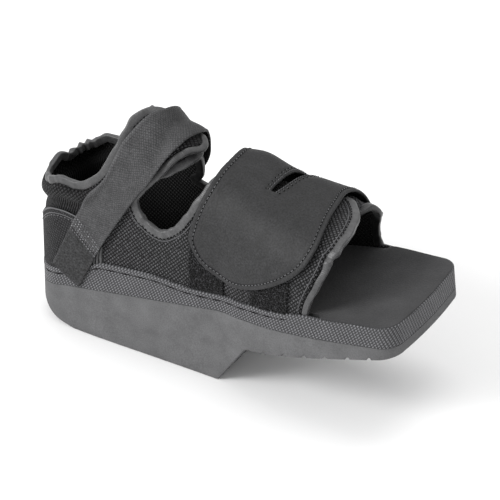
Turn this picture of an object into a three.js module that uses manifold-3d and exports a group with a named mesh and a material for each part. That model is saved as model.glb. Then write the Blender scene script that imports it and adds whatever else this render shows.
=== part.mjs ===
// Post operative shoe with a heel wedge, for either foot: an open-toed mesh upper on a thick foam sole.
// Millimetres, +X to the toe, +Y to the far side where the flap is sewn on, +Z up.
// The origin lies on the floor, on the flat tread under the heel.
import * as THREE from "three";
import { mergeVertices } from "three/addons/utils/BufferGeometryUtils.js";
import Module from "manifold-3d";

const wasm = await Module();
wasm.setup();

// Sole
const LENGTH = 290;
const BALL_WIDTH = 100;
const ORIGIN_FROM_HEEL = 48;
const SOLE_TOE_HEIGHT = 76;
const SOLE_TOE_THICKNESS = 6.8;
const WEDGE_LENGTH = 151;
const WEDGE_FRONT_RUN = 24.5;
const WEDGE_FRONT_HEIGHT = 36.5;
const NOSE_RADIUS = 4;
const THROAT_RADIUS = 5;
const HEEL_CURVE_LENGTH = 38;
const HEEL_CURVE_SQUARENESS = 1.45;
const HEEL_EDGE = 4;
const HEEL_ROUND = 28;
const HEEL_SQUARENESS = 2.05;
const TOE_CORNER_RADIUS = 14;
const TOE_BOW = 2;
const TOE_LEAN_DEGREES = 6;
const TREAD_PITCH = 16;
const TREAD_GROOVE = 2.6;
const TREAD_DEPTH = 1.6;

// Platform on the sole
const STRIP_HEIGHT = 15.5;
const STRIP_THICKNESS = 1.8;
const MIDSOLE_THICKNESS = 12;
const INSOLE_THICKNESS = 3;

// Upper
const INSTEP_HEIGHT = 136;
const ANKLE_HEIGHT = 182;
const UPPER_WALL = 2.6;
const ANKLE_LAP = 8;
const VAMP_LAP = 4.8;
const COLLAR_PAD = 2.4;
const TAPE_WIDTH = 6;
const TAPE_THICKNESS = 4;
const COUNTER_THICKNESS = 1.2;

// Flap, loop patches and strap
const FLAP_THICKNESS = 2.4;
const FLAP_RELIEF = 1.9;
const SLOT_WIDTH = 8;
const PILE_THICKNESS = 1.2;
const STRAP_THICKNESS = 2;
const CLEARANCE = 0.3;

// Plan of the sole: half the width, as a share of half the ball width, at shares of the length.
const PLAN = [
  { along: 0.09, half: 0.7 },
  { along: 0.207, half: 0.73 },
  { along: 0.362, half: 0.74 },
  { along: 0.517, half: 0.757 },
  { along: 0.6, half: 0.88 },
  { along: 0.707, half: 0.992 },
  { along: 0.776, half: 1 },
  { along: 0.9, half: 0.965 },
  { along: 1, half: 0.92 },
];

// Top line of the sole as a share of its height at the toe, the strip's height as a share of its
// height at the toe, and the midsole's thickness as a share of its thickness at the toe.
const PLATFORM = [
  { along: 0, seat: 0.316, strip: 0.98, midsole: 0.6 },
  { along: 0.052, seat: 0.378, strip: 0.84, midsole: 0.6 },
  { along: 0.103, seat: 0.434, strip: 0.84, midsole: 0.6 },
  { along: 0.145, seat: 0.467, strip: 1.02, midsole: 0.61 },
  { along: 0.21, seat: 0.514, strip: 1.42, midsole: 0.62 },
  { along: 0.26, seat: 0.549, strip: 1.37, midsole: 0.63 },
  { along: 0.345, seat: 0.605, strip: 1.26, midsole: 0.65 },
  { along: 0.445, seat: 0.673, strip: 0.9, midsole: 0.68 },
  { along: 0.517, seat: 0.724, strip: 0.81, midsole: 0.7 },
  { along: 0.69, seat: 0.836, strip: 0.89, midsole: 0.82 },
  { along: 0.783, seat: 0.886, strip: 1.04, midsole: 0.88 },
  { along: 0.862, seat: 0.928, strip: 1.03, midsole: 0.93 },
  { along: 1, seat: 1, strip: 1, midsole: 1 },
];

// Crest of the last: its height as shares of the ankle height and the instep height, and how
// square its cross-section is (2 is an ellipse).
const LAST = [
  { along: 0.09, ankle: 1.3, instep: 0, square: 2.6 },
  { along: 0.172, ankle: 1.22, instep: 0, square: 2.5 },
  { along: 0.207, ankle: 1.125, instep: 0, square: 2.5 },
  { along: 0.241, ankle: 1.03, instep: 0, square: 2.5 },
  { along: 0.276, ankle: 0.95, instep: 0, square: 2.5 },
  { along: 0.32, ankle: 0.895, instep: 0, square: 2.4 },
  { along: 0.372, ankle: 0.56, instep: 0.4, square: 2.4 },
  { along: 0.417, ankle: 0.25, instep: 0.76, square: 2.6 },
  { along: 0.46, ankle: 0.05, instep: 0.975, square: 2.8 },
  { along: 0.52, ankle: 0, instep: 1.01, square: 2.9 },
  { along: 0.69, ankle: 0, instep: 0.985, square: 2.9 },
  { along: 0.8, ankle: 0, instep: 0.97, square: 3 },
  { along: 0.9, ankle: 0, instep: 0.96, square: 3 },
];

// A smooth function through one column of a table, without overshoot between its rows.
function column(rows, name, step, size) {
  const xs = rows.map((row) => row.along * step);
  const ys = rows.map((row) => row[name] * size);
  const slopes = xs.slice(1).map((x, i) => (ys[i + 1] - ys[i]) / (x - xs[i]));
  const tangents = xs.map((_, i) => {
    if (i === 0) return slopes[0];
    if (i === xs.length - 1) return slopes[i - 1];
    if (slopes[i - 1] * slopes[i] <= 0) return 0;
    return (2 * slopes[i - 1] * slopes[i]) / (slopes[i - 1] + slopes[i]);
  });
  return (x) => {
    if (x <= xs[0]) return ys[0] + tangents[0] * (x - xs[0]);
    const last = xs.length - 1;
    if (x >= xs[last]) return ys[last] + tangents[last] * (x - xs[last]);
    const i = xs.findIndex((value) => value > x) - 1;
    const run = xs[i + 1] - xs[i];
    const t = (x - xs[i]) / run;
    const rise = (3 - 2 * t) * t * t;
    const lead = t * (1 - t) * (1 - t) * tangents[i] * run;
    const tail = t * t * (1 - t) * tangents[i + 1] * run;
    return ys[i] * (1 - rise) + ys[i + 1] * rise + lead - tail;
  };
}

const halfWidth = column(PLAN, "half", LENGTH, BALL_WIDTH / 2);
const seatHeight = column(PLATFORM, "seat", LENGTH, SOLE_TOE_HEIGHT);
const stripHeight = column(PLATFORM, "strip", LENGTH, STRIP_HEIGHT);
const midsoleHeight = column(PLATFORM, "midsole", LENGTH, MIDSOLE_THICKNESS);
const ankleShare = column(LAST, "ankle", LENGTH, ANKLE_HEIGHT);
const instepShare = column(LAST, "instep", LENGTH, INSTEP_HEIGHT);
const squareness = column(LAST, "square", LENGTH, 1);

const stripTop = (x) => seatHeight(x) + stripHeight(x);
const midsoleTop = (x) => seatHeight(x) + CLEARANCE + midsoleHeight(x);
const upperBase = (x) => midsoleTop(x + UPPER_WALL) + CLEARANCE;
const crestHeight = (x) => ankleShare(x) + instepShare(x);

// Half the sole's width at x, inset from the outline, with the rounded heel and toe corners.
function planHalf(x, inset) {
  const toe = LENGTH - inset;
  const radius = TOE_CORNER_RADIUS - inset / 2;
  if (x < HEEL_ROUND) {
    const reach = Math.min(1, (HEEL_ROUND - x) / (HEEL_ROUND - inset));
    const shape = Math.pow(1 - Math.pow(reach, HEEL_SQUARENESS), 1 / HEEL_SQUARENESS);
    return (halfWidth(HEEL_ROUND) - inset) * shape;
  }
  const side = halfWidth(x) - inset;
  const into = x - (toe - TOE_BOW - radius);
  if (into <= 0) return side;
  return side - radius + Math.sqrt(Math.max(0, radius * radius - into * into));
}

// Closed outline of the sole in plan, from the heel along the near side to the toe and back.
function planOutline(inset) {
  const near = [];
  const heelSteps = 9;
  const reach = HEEL_ROUND - inset;
  const width = halfWidth(HEEL_ROUND) - inset;
  const power = 2 / HEEL_SQUARENESS;
  for (let i = 1; i <= heelSteps; i++) {
    const angle = (Math.PI / 2) * (i / heelSteps);
    const x = HEEL_ROUND - reach * Math.pow(Math.cos(angle), power);
    near.push(new THREE.Vector2(x, -width * Math.pow(Math.sin(angle), power)));
  }
  const cornerStart = LENGTH - inset - TOE_BOW - (TOE_CORNER_RADIUS - inset / 2);
  const sideSteps = 18;
  for (let i = 1; i <= sideSteps; i++) {
    const x = HEEL_ROUND + ((cornerStart - HEEL_ROUND) * i) / sideSteps;
    near.push(new THREE.Vector2(x, -planHalf(x, inset)));
  }
  const radius = TOE_CORNER_RADIUS - inset / 2;
  const cornerSteps = 5;
  const edge = halfWidth(cornerStart) - inset - radius;
  for (let i = 1; i <= cornerSteps; i++) {
    const angle = (Math.PI / 2) * (i / cornerSteps);
    const x = cornerStart + radius * Math.sin(angle);
    near.push(new THREE.Vector2(x, -edge - radius * Math.cos(angle)));
  }
  const bowSteps = 2;
  for (let i = 1; i <= bowSteps; i++) {
    const t = i / (bowSteps + 1);
    const x = LENGTH - inset - TOE_BOW * (1 - t) * (1 - t);
    near.push(new THREE.Vector2(x, -edge * (1 - t)));
  }
  const far = near.map((p) => new THREE.Vector2(p.x, -p.y)).reverse();
  return [new THREE.Vector2(inset, 0), ...near, new THREE.Vector2(LENGTH - inset, 0), ...far];
}

// A solid for manifold-3d from a three.js geometry.
function solid(geometry) {
  const bare = geometry.index ? geometry.clone() : geometry;
  bare.deleteAttribute("normal");
  bare.deleteAttribute("uv");
  const merged = mergeVertices(bare, 1e-4);
  const vertProperties = new Float32Array(merged.attributes.position.array);
  const triVerts = new Uint32Array(merged.index.array);
  return new wasm.Manifold(new wasm.Mesh({ numProp: 3, vertProperties, triVerts }));
}

function geometryOf(made) {
  const mesh = made.getMesh();
  const positions = new Float32Array(mesh.vertProperties);
  const geometry = new THREE.BufferGeometry();
  geometry.setAttribute("position", new THREE.BufferAttribute(positions, 3));
  geometry.setIndex(new THREE.BufferAttribute(new Uint32Array(mesh.triVerts), 1));
  return geometry;
}

// A flat outline raised along +Z between two heights.
function prism(points, low, high) {
  const geometry = new THREE.ExtrudeGeometry(new THREE.Shape(points), {
    depth: high - low,
    bevelEnabled: false,
  });
  return solid(geometry.translate(0, 0, low));
}

// A side profile in x and z, drawn out across the shoe.
function acrossSolid(points) {
  const span = BALL_WIDTH * 1.5;
  const geometry = new THREE.ExtrudeGeometry(new THREE.Shape(points), {
    depth: span,
    bevelEnabled: false,
  });
  geometry.rotateX(Math.PI / 2);
  return solid(geometry.translate(0, span / 2, 0));
}

// The front of the platform leans back to stand square on the rising sole.
const LEAN_START = LENGTH - 50;
function leanToe(geometry) {
  const position = geometry.attributes.position;
  for (let i = 0; i < position.count; i++) {
    const x = position.getX(i);
    const t = Math.min(1, Math.max(0, (x - LEAN_START) / (LENGTH - LEAN_START)));
    const lean = Math.tan(THREE.MathUtils.degToRad(TOE_LEAN_DEGREES)) * t * t * (3 - 2 * t);
    position.setX(i, x - lean * (position.getZ(i) - SOLE_TOE_HEIGHT + SOLE_TOE_THICKNESS));
  }
  return geometry;
}

// Points of a height line over the sole, from x = from to x = to.
function line(height, from, to, steps) {
  const points = [];
  for (let i = 0; i <= steps; i++) {
    const x = from + ((to - from) * i) / steps;
    points.push(new THREE.Vector2(x, height(x)));
  }
  return points;
}

// Rounds a corner of a profile with an arc that touches both of its sides.
function rounded(before, corner, after, radius, steps) {
  const a = before.clone().sub(corner).normalize();
  const b = after.clone().sub(corner).normalize();
  const half = Math.acos(a.dot(b)) / 2;
  const centre = corner.clone().add(a.clone().add(b).normalize().multiplyScalar(radius / Math.sin(half)));
  const start = corner.clone().addScaledVector(a, radius / Math.tan(half)).sub(centre);
  const end = corner.clone().addScaledVector(b, radius / Math.tan(half)).sub(centre);
  const turn = Math.atan2(start.cross(end), start.dot(end));
  const points = [];
  for (let i = 0; i <= steps; i++) {
    const spoke = start.clone().rotateAround(new THREE.Vector2(), (turn * i) / steps);
    points.push(centre.clone().add(spoke));
  }
  return points;
}

function outsole() {
  const heelTop = seatHeight(0) - HEEL_EDGE;
  const nose = new THREE.Vector2(WEDGE_LENGTH, 0);
  const throat = new THREE.Vector2(WEDGE_LENGTH + WEDGE_FRONT_RUN, WEDGE_FRONT_HEIGHT);
  const toeLow = new THREE.Vector2(LENGTH, SOLE_TOE_HEIGHT - SOLE_TOE_THICKNESS);
  const past = 10;
  const heelSteps = 7;
  const points = [new THREE.Vector2(-past, heelTop)];
  for (let i = 0; i <= heelSteps; i++) {
    const angle = (Math.PI / 2) * (i / heelSteps);
    const along = 1 - Math.cos(angle) ** (2 / HEEL_CURVE_SQUARENESS);
    const down = 1 - Math.sin(angle) ** (2 / HEEL_CURVE_SQUARENESS);
    points.push(new THREE.Vector2(HEEL_CURVE_LENGTH * along, heelTop * down));
  }
  points.push(...rounded(new THREE.Vector2(HEEL_CURVE_LENGTH, 0), nose, throat, NOSE_RADIUS, 3));
  points.push(...rounded(nose, throat, toeLow, THROAT_RADIUS, 3));
  const run = toeLow.clone().sub(throat);
  const grooves = Math.floor((run.length() - TREAD_PITCH) / TREAD_PITCH);
  const down = run.clone().normalize();
  const into = new THREE.Vector2(-down.y, down.x).multiplyScalar(TREAD_DEPTH);
  for (let i = 1; i <= grooves; i++) {
    const start = throat.clone().addScaledVector(down, i * TREAD_PITCH);
    const end = start.clone().addScaledVector(down, TREAD_GROOVE);
    points.push(start, start.clone().add(into), end.clone().add(into), end);
  }
  const ahead = toeLow.clone().addScaledVector(down, past);
  points.push(ahead);
  points.push(...line(seatHeight, LENGTH + past, -past, 27));
  const block = prism(planOutline(0), -past, 2 * SOLE_TOE_HEIGHT);
  return leanToe(geometryOf(acrossSolid(points).intersect(block)));
}

const block = (inset) => prism(planOutline(inset), 0, 3 * SOLE_TOE_HEIGHT);

// A layer of the platform between two height lines, cut to a plan.
function layer(low, high, plan) {
  const reach = 5;
  const bottom = line(low, -reach, LENGTH + reach, 24);
  const top = line(high, LENGTH + reach, -reach, 24);
  return leanToe(geometryOf(acrossSolid([...bottom, ...top]).intersect(plan)));
}

const STRIP_INSET = STRIP_THICKNESS + CLEARANCE;
const BED_INSET = STRIP_INSET + UPPER_WALL + 3 * CLEARANCE;
const OPEN_TOE_START = 0.795 * LENGTH;

// The foot bed lies inside the upper's walls and, ahead of them, fills the open toe.
function bedPlan() {
  const start = OPEN_TOE_START;
  const corners = [
    new THREE.Vector2(start, -BALL_WIDTH),
    new THREE.Vector2(2 * LENGTH, -BALL_WIDTH),
    new THREE.Vector2(2 * LENGTH, BALL_WIDTH),
    new THREE.Vector2(start, BALL_WIDTH),
  ];
  const ahead = prism(corners, 0, 3 * SOLE_TOE_HEIGHT);
  return block(BED_INSET).add(block(STRIP_INSET).intersect(ahead));
}

// A closed mesh from rings of points; each ring has the same count and the rings may close up.
function skinned(rings, closed) {
  const count = rings[0].length;
  const positions = rings.flat().flatMap((p) => [p.x, p.y, p.z]);
  const index = [];
  const last = closed ? rings.length : rings.length - 1;
  for (let i = 0; i < last; i++) {
    const next = (i + 1) % rings.length;
    for (let j = 0; j < count; j++) {
      const k = (j + 1) % count;
      const a = i * count + j;
      const b = next * count + j;
      const c = next * count + k;
      const d = i * count + k;
      index.push(a, b, c, a, c, d);
    }
  }
  if (!closed) {
    const end = (rings.length - 1) * count;
    for (let j = 1; j < count - 1; j++) {
      index.push(0, j, j + 1);
      index.push(end, end + j + 1, end + j);
    }
  }
  const geometry = new THREE.BufferGeometry();
  geometry.setAttribute("position", new THREE.Float32BufferAttribute(positions, 3));
  geometry.setIndex(index);
  return outward(geometry);
}

// Turns the faces of a closed mesh outwards, if they face in.
function outward(geometry) {
  const p = geometry.attributes.position;
  const index = geometry.index.array;
  const a = new THREE.Vector3();
  const b = new THREE.Vector3();
  const c = new THREE.Vector3();
  let volume = 0;
  for (let i = 0; i < index.length; i += 3) {
    a.fromBufferAttribute(p, index[i]);
    b.fromBufferAttribute(p, index[i + 1]);
    c.fromBufferAttribute(p, index[i + 2]);
    volume += a.dot(b.cross(c));
  }
  if (volume < 0) {
    for (let i = 0; i < index.length; i += 3) {
      [index[i + 1], index[i + 2]] = [index[i + 2], index[i + 1]];
    }
  }
  return geometry;
}

function foxingStrip() {
  const outer = planOutline(0);
  const inner = planOutline(STRIP_THICKNESS);
  const rings = outer.map((p, i) => {
    const q = inner[i];
    return [
      new THREE.Vector3(p.x, p.y, seatHeight(p.x) + CLEARANCE),
      new THREE.Vector3(p.x, p.y, stripTop(p.x)),
      new THREE.Vector3(q.x, q.y, stripTop(q.x)),
      new THREE.Vector3(q.x, q.y, seatHeight(q.x) + CLEARANCE),
    ];
  });
  return leanToe(skinned(rings, true));
}

// Cross-section of the last at x: points from the base up to the crest, with the length so far.
const SECTION_STEPS = 48;
const sections = new Map();
function section(x) {
  const key = x.toFixed(4);
  if (sections.has(key)) return sections.get(key);
  const width = halfWidth(x) - STRIP_INSET;
  const base = upperBase(x);
  const rise = crestHeight(x) - base;
  const power = 2 / squareness(x);
  const made = [{ y: width, z: base, girth: 0 }];
  for (let i = 1; i <= SECTION_STEPS; i++) {
    const angle = (Math.PI / 2) * (i / SECTION_STEPS);
    const y = width * Math.pow(Math.max(0, Math.cos(angle)), power);
    const z = base + rise * Math.pow(Math.sin(angle), power);
    const before = made[i - 1];
    made.push({ y, z, girth: before.girth + Math.hypot(y - before.y, z - before.z) });
  }
  sections.set(key, made);
  return made;
}

// Length over the last from its base to its crest, at x.
const girth = (x) => section(x)[SECTION_STEPS].girth;

// Half width and height of the last at x, a length g up from its base.
function around(x, g) {
  const made = section(x);
  if (g <= 0) return { y: made[0].y, z: made[0].z + g };
  const end = made[SECTION_STEPS];
  if (g > end.girth) {
    const over = around(x, 2 * end.girth - g);
    return { y: -over.y, z: over.z };
  }
  const i = Math.max(1, made.findIndex((point) => point.girth >= g)) - 1;
  const t = (g - made[i].girth) / (made[i + 1].girth - made[i].girth);
  const y = made[i].y + (made[i + 1].y - made[i].y) * t;
  const z = made[i].z + (made[i + 1].z - made[i].z) * t;
  return { y, z };
}

// The last's surface in horseshoe form: s runs from the near side (negative) round the heel to the
// far side, g is the length up from the base.
const HEEL_ARC = 48;
function horseshoe(s, g) {
  const past = Math.abs(s) - HEEL_ARC;
  if (past >= 0) {
    const x = HEEL_ROUND + past;
    const at = around(x, g);
    return new THREE.Vector3(x, Math.sign(s) * at.y, at.z);
  }
  const angle = (s / HEEL_ARC) * (Math.PI / 2);
  const at = around(HEEL_ROUND, g);
  const reach = HEEL_ROUND - STRIP_INSET;
  const c = Math.pow(Math.abs(Math.cos(angle)), 2 / HEEL_SQUARENESS);
  const d = Math.pow(Math.abs(Math.sin(angle)), 2 / HEEL_SQUARENESS);
  const x = HEEL_ROUND - reach * c;
  return new THREE.Vector3(x, Math.sign(s) * at.y * d, at.z + upperBase(x) - upperBase(HEEL_ROUND));
}

// The same surface in saddle form: x along the shoe, q across it from the crest, near side negative.
function saddle(x, q) {
  const at = around(x, girth(x) - Math.abs(q));
  return new THREE.Vector3(x, Math.sign(q) * at.y, at.z);
}

const horseshoeAt = (x) => x - HEEL_ROUND + HEEL_ARC;


// Edge of the near half, along the middle of its tape, from the back of the heel (along counts on
// round the heel) over the collar, the ankle wing and the side cut to the throat. rise is the share
// of the way over the last from its base to its crest; over 1 it lies past the crest.
const COLLAR = [
  { along: -0.069, rise: 0.345 },
  { along: 0, rise: 0.34 },
  { along: 0.05, rise: 0.344 },
  { along: 0.09, rise: 0.353 },
  { along: 0.146, rise: 0.358 },
  { along: 0.178, rise: 0.395 },
  { along: 0.205, rise: 0.47 },
  { along: 0.222, rise: 0.545 },
];
const NEAR_WING = [
  { along: 0.25, rise: 0.715 },
  { along: 0.262, rise: 0.83 },
  { along: 0.27, rise: 0.88 },
  { along: 0.2775, rise: 0.93 },
  { along: 0.2895, rise: 0.985 },
  { along: 0.311, rise: 1.035 },
  { along: 0.333, rise: 1.08 },
  { along: 0.36, rise: 1.11 },
  { along: 0.39, rise: 1.085 },
  { along: 0.406, rise: 1.02 },
  { along: 0.396, rise: 0.94 },
  { along: 0.373, rise: 0.849 },
  { along: 0.355, rise: 0.776 },
  { along: 0.339, rise: 0.7 },
  { along: 0.325, rise: 0.64 },
  { along: 0.306, rise: 0.561 },
];
const FAR_WING = [
  { along: 0.252, rise: 0.68 },
  { along: 0.27, rise: 0.8 },
  { along: 0.281, rise: 0.92 },
  { along: 0.287, rise: 1.05 },
  { along: 0.289, rise: 1.17 },
  { along: 0.291, rise: 1.24 },
  { along: 0.297, rise: 1.29 },
  { along: 0.314, rise: 1.32 },
  { along: 0.336, rise: 1.31 },
  { along: 0.357, rise: 1.27 },
  { along: 0.38, rise: 1.2 },
  { along: 0.4, rise: 1.1 },
  { along: 0.408, rise: 0.98 },
  { along: 0.39, rise: 0.86 },
  { along: 0.36, rise: 0.72 },
  { along: 0.342, rise: 0.6 },
];
const SIDE_CUT = [
  { along: 0.29, rise: 0.5 },
  { along: 0.297, rise: 0.435 },
  { along: 0.321, rise: 0.39 },
  { along: 0.365, rise: 0.356 },
  { along: 0.405, rise: 0.425 },
  { along: 0.43, rise: 0.525 },
  { along: 0.444, rise: 0.62 },
  { along: 0.46, rise: 0.725 },
  { along: 0.468, rise: 0.82 },
];
const FAR_CUT_START = { along: 0.338, rise: 0.45 };
const NEAR_END = [
  { along: 0.478, rise: 0.95 },
  { along: 0.486, rise: 1.08 },
];
const FAR_END = [{ along: 0.478, rise: 0.93 }];
const NEAR_EDGE = [...COLLAR, ...NEAR_WING, ...SIDE_CUT, ...NEAR_END];
const FAR_EDGE = [...COLLAR, ...FAR_WING, FAR_CUT_START, ...SIDE_CUT.slice(2), ...FAR_END];

// Front edges of the vamp, along the middle of the tape, from the base to the throat.
const NEAR_FRONT = [
  { along: 0.764, rise: 0.06 },
  { along: 0.77, rise: 0.15 },
  { along: 0.79, rise: 0.33 },
  { along: 0.8, rise: 0.45 },
  { along: 0.802, rise: 0.53 },
  { along: 0.811, rise: 0.635 },
  { along: 0.8125, rise: 0.785 },
  { along: 0.806, rise: 0.925 },
  { along: 0.796, rise: 1.03 },
  { along: 0.78, rise: 1.12 },
  { along: 0.757, rise: 1.2 },
  { along: 0.738, rise: 1.225 },
];
const FAR_FRONT = [
  { along: 0.776, rise: 0.06 },
  { along: 0.771, rise: 0.12 },
  { along: 0.768, rise: 0.18 },
  { along: 0.769, rise: 0.26 },
  { along: 0.777, rise: 0.35 },
  { along: 0.788, rise: 0.43 },
  { along: 0.797, rise: 0.51 },
  { along: 0.8, rise: 0.59 },
  { along: 0.797, rise: 0.67 },
  { along: 0.79, rise: 0.74 },
  { along: 0.78, rise: 0.79 },
  { along: 0.766, rise: 0.82 },
];

const EDGE_STEPS = 84;
const FRONT_STEPS = 22;

// A smooth curve over the horseshoe surface through a table's rows.
function edgeCurve(rows, steps) {
  const points = rows.map((row) => {
    const x = row.along * LENGTH;
    return new THREE.Vector2(horseshoeAt(x), row.rise * girth(Math.max(x, HEEL_ROUND)));
  });
  return new THREE.SplineCurve(points).getPoints(steps);
}

// Distance of a point from the line between two others.
function gapTo(p, start, end) {
  const run = end.clone().sub(start);
  const t = THREE.MathUtils.clamp(p.clone().sub(start).dot(run) / run.lengthSq(), 0, 1);
  return p.distanceTo(start.clone().addScaledVector(run, t));
}

// A curve on the horseshoe surface moved sideways over it, to the left of its direction, by a true
// distance and without loops in its tight bends.
function offset(points, distance) {
  const step = 0.4;
  const moved = points.map((p, i) => {
    const before = points[Math.max(0, i - 1)];
    const after = points[Math.min(points.length - 1, i + 1)];
    const t = after.clone().sub(before).normalize();
    const across = horseshoe(p.x + step, p.y).sub(horseshoe(p.x - step, p.y));
    const up = horseshoe(p.x, p.y + step).sub(horseshoe(p.x, p.y - step));
    const mixed = across.dot(up);
    const a = -mixed * t.x - up.lengthSq() * t.y;
    const b = across.lengthSq() * t.x + mixed * t.y;
    const size = across.multiplyScalar(a).addScaledVector(up, b).length() / (2 * step);
    return new THREE.Vector2(p.x + (a * distance) / size, p.y + (b * distance) / size);
  });
  const least = Math.abs(distance) * 0.96;
  const track = points.map((p) => horseshoe(p.x, p.y));
  return moved.filter((p) => {
    const place = horseshoe(p.x, p.y);
    return track.slice(1).every((q, i) => gapTo(place, track[i], q) > least);
  });
}

const collarRise = column(COLLAR, "rise", LENGTH, 1);

// How far the padded collar stands out from the last, and how far it draws in under its pad.
const PAD_DROP = 7.5;
const PAD_SPREAD = 6;
const WAIST_DEPTH = 2;
const WAIST_DROP = 15.3;
const WAIST_SPREAD = 4.5;
const PAD_END = 80;
function padding(s, g) {
  const x = Math.abs(s) - HEEL_ARC + HEEL_ROUND;
  const below = collarRise(x) * girth(Math.max(x, HEEL_ROUND)) - g;
  const fade = THREE.MathUtils.smoothstep(PAD_END - x, 0, PAD_END / 2);
  const pad = Math.exp(-(((below - PAD_DROP) / PAD_SPREAD) ** 2));
  const waist = Math.exp(-(((below - WAIST_DROP) / WAIST_SPREAD) ** 2));
  return fade * (COLLAR_PAD * pad - WAIST_DEPTH * waist);
}

// How far the far half drops under the near half, where the two lap over the crest. Towards the
// open front it drops later, where the near half reaches less far across, and its free corner sags.
const LAP_START = 0.56;
const LAP_END = 0.72;
const LAP_LATE = 0.17;
const LAP_TURN = 0.45 * LENGTH;
const CORNER_SAG = 4.5;
const SAG_RISE = 0.53;
const SAG_SPREAD = 0.14;
function lapDrop(s, g) {
  if (s <= 0) return 0;
  const x = Math.max(HEEL_ROUND, s - HEEL_ARC + HEEL_ROUND);
  const late = LAP_LATE * THREE.MathUtils.smoothstep(x, 0.745 * LENGTH, 0.805 * LENGTH);
  const share = g / girth(x);
  const depth = THREE.MathUtils.smoothstep(share, LAP_START + late, LAP_END + late);
  const forward = THREE.MathUtils.smoothstep(x, LAP_TURN - 15, LAP_TURN + 15);
  const free = CORNER_SAG * THREE.MathUtils.smoothstep(x, 0.72 * LENGTH, 0.785 * LENGTH);
  const sag = free * Math.exp(-(((share - SAG_RISE) / SAG_SPREAD) ** 2));
  return sag + depth * (ANKLE_LAP + (VAMP_LAP - ANKLE_LAP) * forward);
}

// Outward normal of a surface given as a function of two numbers.
function normalAt(surface, a, b, turn) {
  const step = 0.4;
  const da = surface(a + step, b).sub(surface(a - step, b));
  const db = surface(a, b + step).sub(surface(a, b - step));
  return da.cross(db).normalize().multiplyScalar(turn);
}

// A point a given distance off the padded and lapped horseshoe surface.
function offHorseshoe(s, g, distance) {
  const normal = normalAt(horseshoe, s, g, -1);
  return horseshoe(s, g).addScaledVector(normal, distance + padding(s, g) - lapDrop(s, g));
}

function offSaddle(x, q, distance) {
  return saddle(x, q).addScaledVector(normalAt(saddle, x, q, 1), distance);
}

// Cuts a pattern piece, given by its flat outline, and wraps it over a surface between two
// distances off it. The flat sheet is slightly bowed while it is cut, so that its grid is kept.
const BOW = 0.002;
function patternPiece(outline, openings, place, inner, outer, cell) {
  const box = new THREE.Box2().setFromPoints(outline);
  const middle = box.getCenter(new THREE.Vector2());
  const size = box.getSize(new THREE.Vector2());
  const across = Math.ceil(size.x / cell.x) + 2;
  const up = Math.ceil(size.y / cell.y) + 2;
  const bow = (a, b) => BOW * ((a - middle.x) ** 2 + (b - middle.y) ** 2);
  const positions = [];
  for (const layerHeight of [0, 1]) {
    for (let j = 0; j <= up; j++) {
      for (let i = 0; i <= across; i++) {
        const a = middle.x + (i - across / 2) * cell.x;
        const b = middle.y + (j - up / 2) * cell.y;
        positions.push(a, b, bow(a, b) + layerHeight);
      }
    }
  }
  const index = [];
  const count = (across + 1) * (up + 1);
  const at = (i, j) => j * (across + 1) + i;
  for (let j = 0; j < up; j++) {
    for (let i = 0; i < across; i++) {
      const [a, b, c, d] = [at(i, j), at(i + 1, j), at(i + 1, j + 1), at(i, j + 1)];
      index.push(a, c, b, a, d, c);
      index.push(a + count, b + count, c + count, a + count, c + count, d + count);
    }
  }
  const rim = [];
  for (let i = 0; i < across; i++) rim.push(at(i, 0));
  for (let j = 0; j < up; j++) rim.push(at(across, j));
  for (let i = across; i > 0; i--) rim.push(at(i, up));
  for (let j = up; j > 0; j--) rim.push(at(0, j));
  rim.forEach((a, k) => {
    const b = rim[(k + 1) % rim.length];
    index.push(a, b, b + count, a, b + count, a + count);
  });
  const sheet = new THREE.BufferGeometry();
  sheet.setAttribute("position", new THREE.Float32BufferAttribute(positions, 3));
  sheet.setIndex(index);
  const top = bow(middle.x + (across / 2) * cell.x, middle.y + (up / 2) * cell.y) + 5;
  let cut = solid(sheet).intersect(prism(outline, -2, top));
  for (const opening of openings) cut = cut.subtract(prism(opening, -2, top));
  const geometry = geometryOf(cut);
  const position = geometry.attributes.position;
  for (let i = 0; i < position.count; i++) {
    const a = position.getX(i);
    const b = position.getY(i);
    const distance = position.getZ(i) - bow(a, b) > 0.5 ? outer : inner;
    const p = place(a, b, typeof distance === "number" ? distance : distance(a, b));
    position.setXYZ(i, p.x, p.y, p.z);
  }
  return outward(geometry);
}

const flip = (points) => points.map((p) => new THREE.Vector2(-p.x, p.y));

// Outline of one half of the upper, up to the tape: edge, throat, front edge and base.
function halfOutline(edgeRows, frontRows) {
  const back = TAPE_WIDTH / 2 + 2.6 * CLEARANCE;
  const edge = offset(edgeCurve(edgeRows, EDGE_STEPS), -back);
  const front = offset(edgeCurve(frontRows, FRONT_STEPS), back);
  const start = edgeRows[edgeRows.length - 1];
  const end = frontRows[frontRows.length - 1];
  const from = start.along * LENGTH + 6;
  const to = end.along * LENGTH - 6;
  const throat = [];
  const throatSteps = 12;
  for (let i = 0; i <= throatSteps; i++) {
    const t = i / throatSteps;
    const x = from + (to - from) * t;
    const rise = start.rise + (end.rise - start.rise) * t;
    throat.push(new THREE.Vector2(horseshoeAt(x), rise * girth(x)));
  }
  const outline = [...edge, ...throat, ...front.reverse()];
  outline[0].x = 0;
  outline[outline.length - 1].y = 0;
  return outline;
}

function upper() {
  const far = halfOutline(FAR_EDGE, FAR_FRONT);
  const near = flip(halfOutline(NEAR_EDGE, NEAR_FRONT).slice(1)).reverse();
  const cell = { x: 8.5, y: 9 };
  return patternPiece([...far, ...near], [], offHorseshoe, -UPPER_WALL, 0, cell);
}

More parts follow.
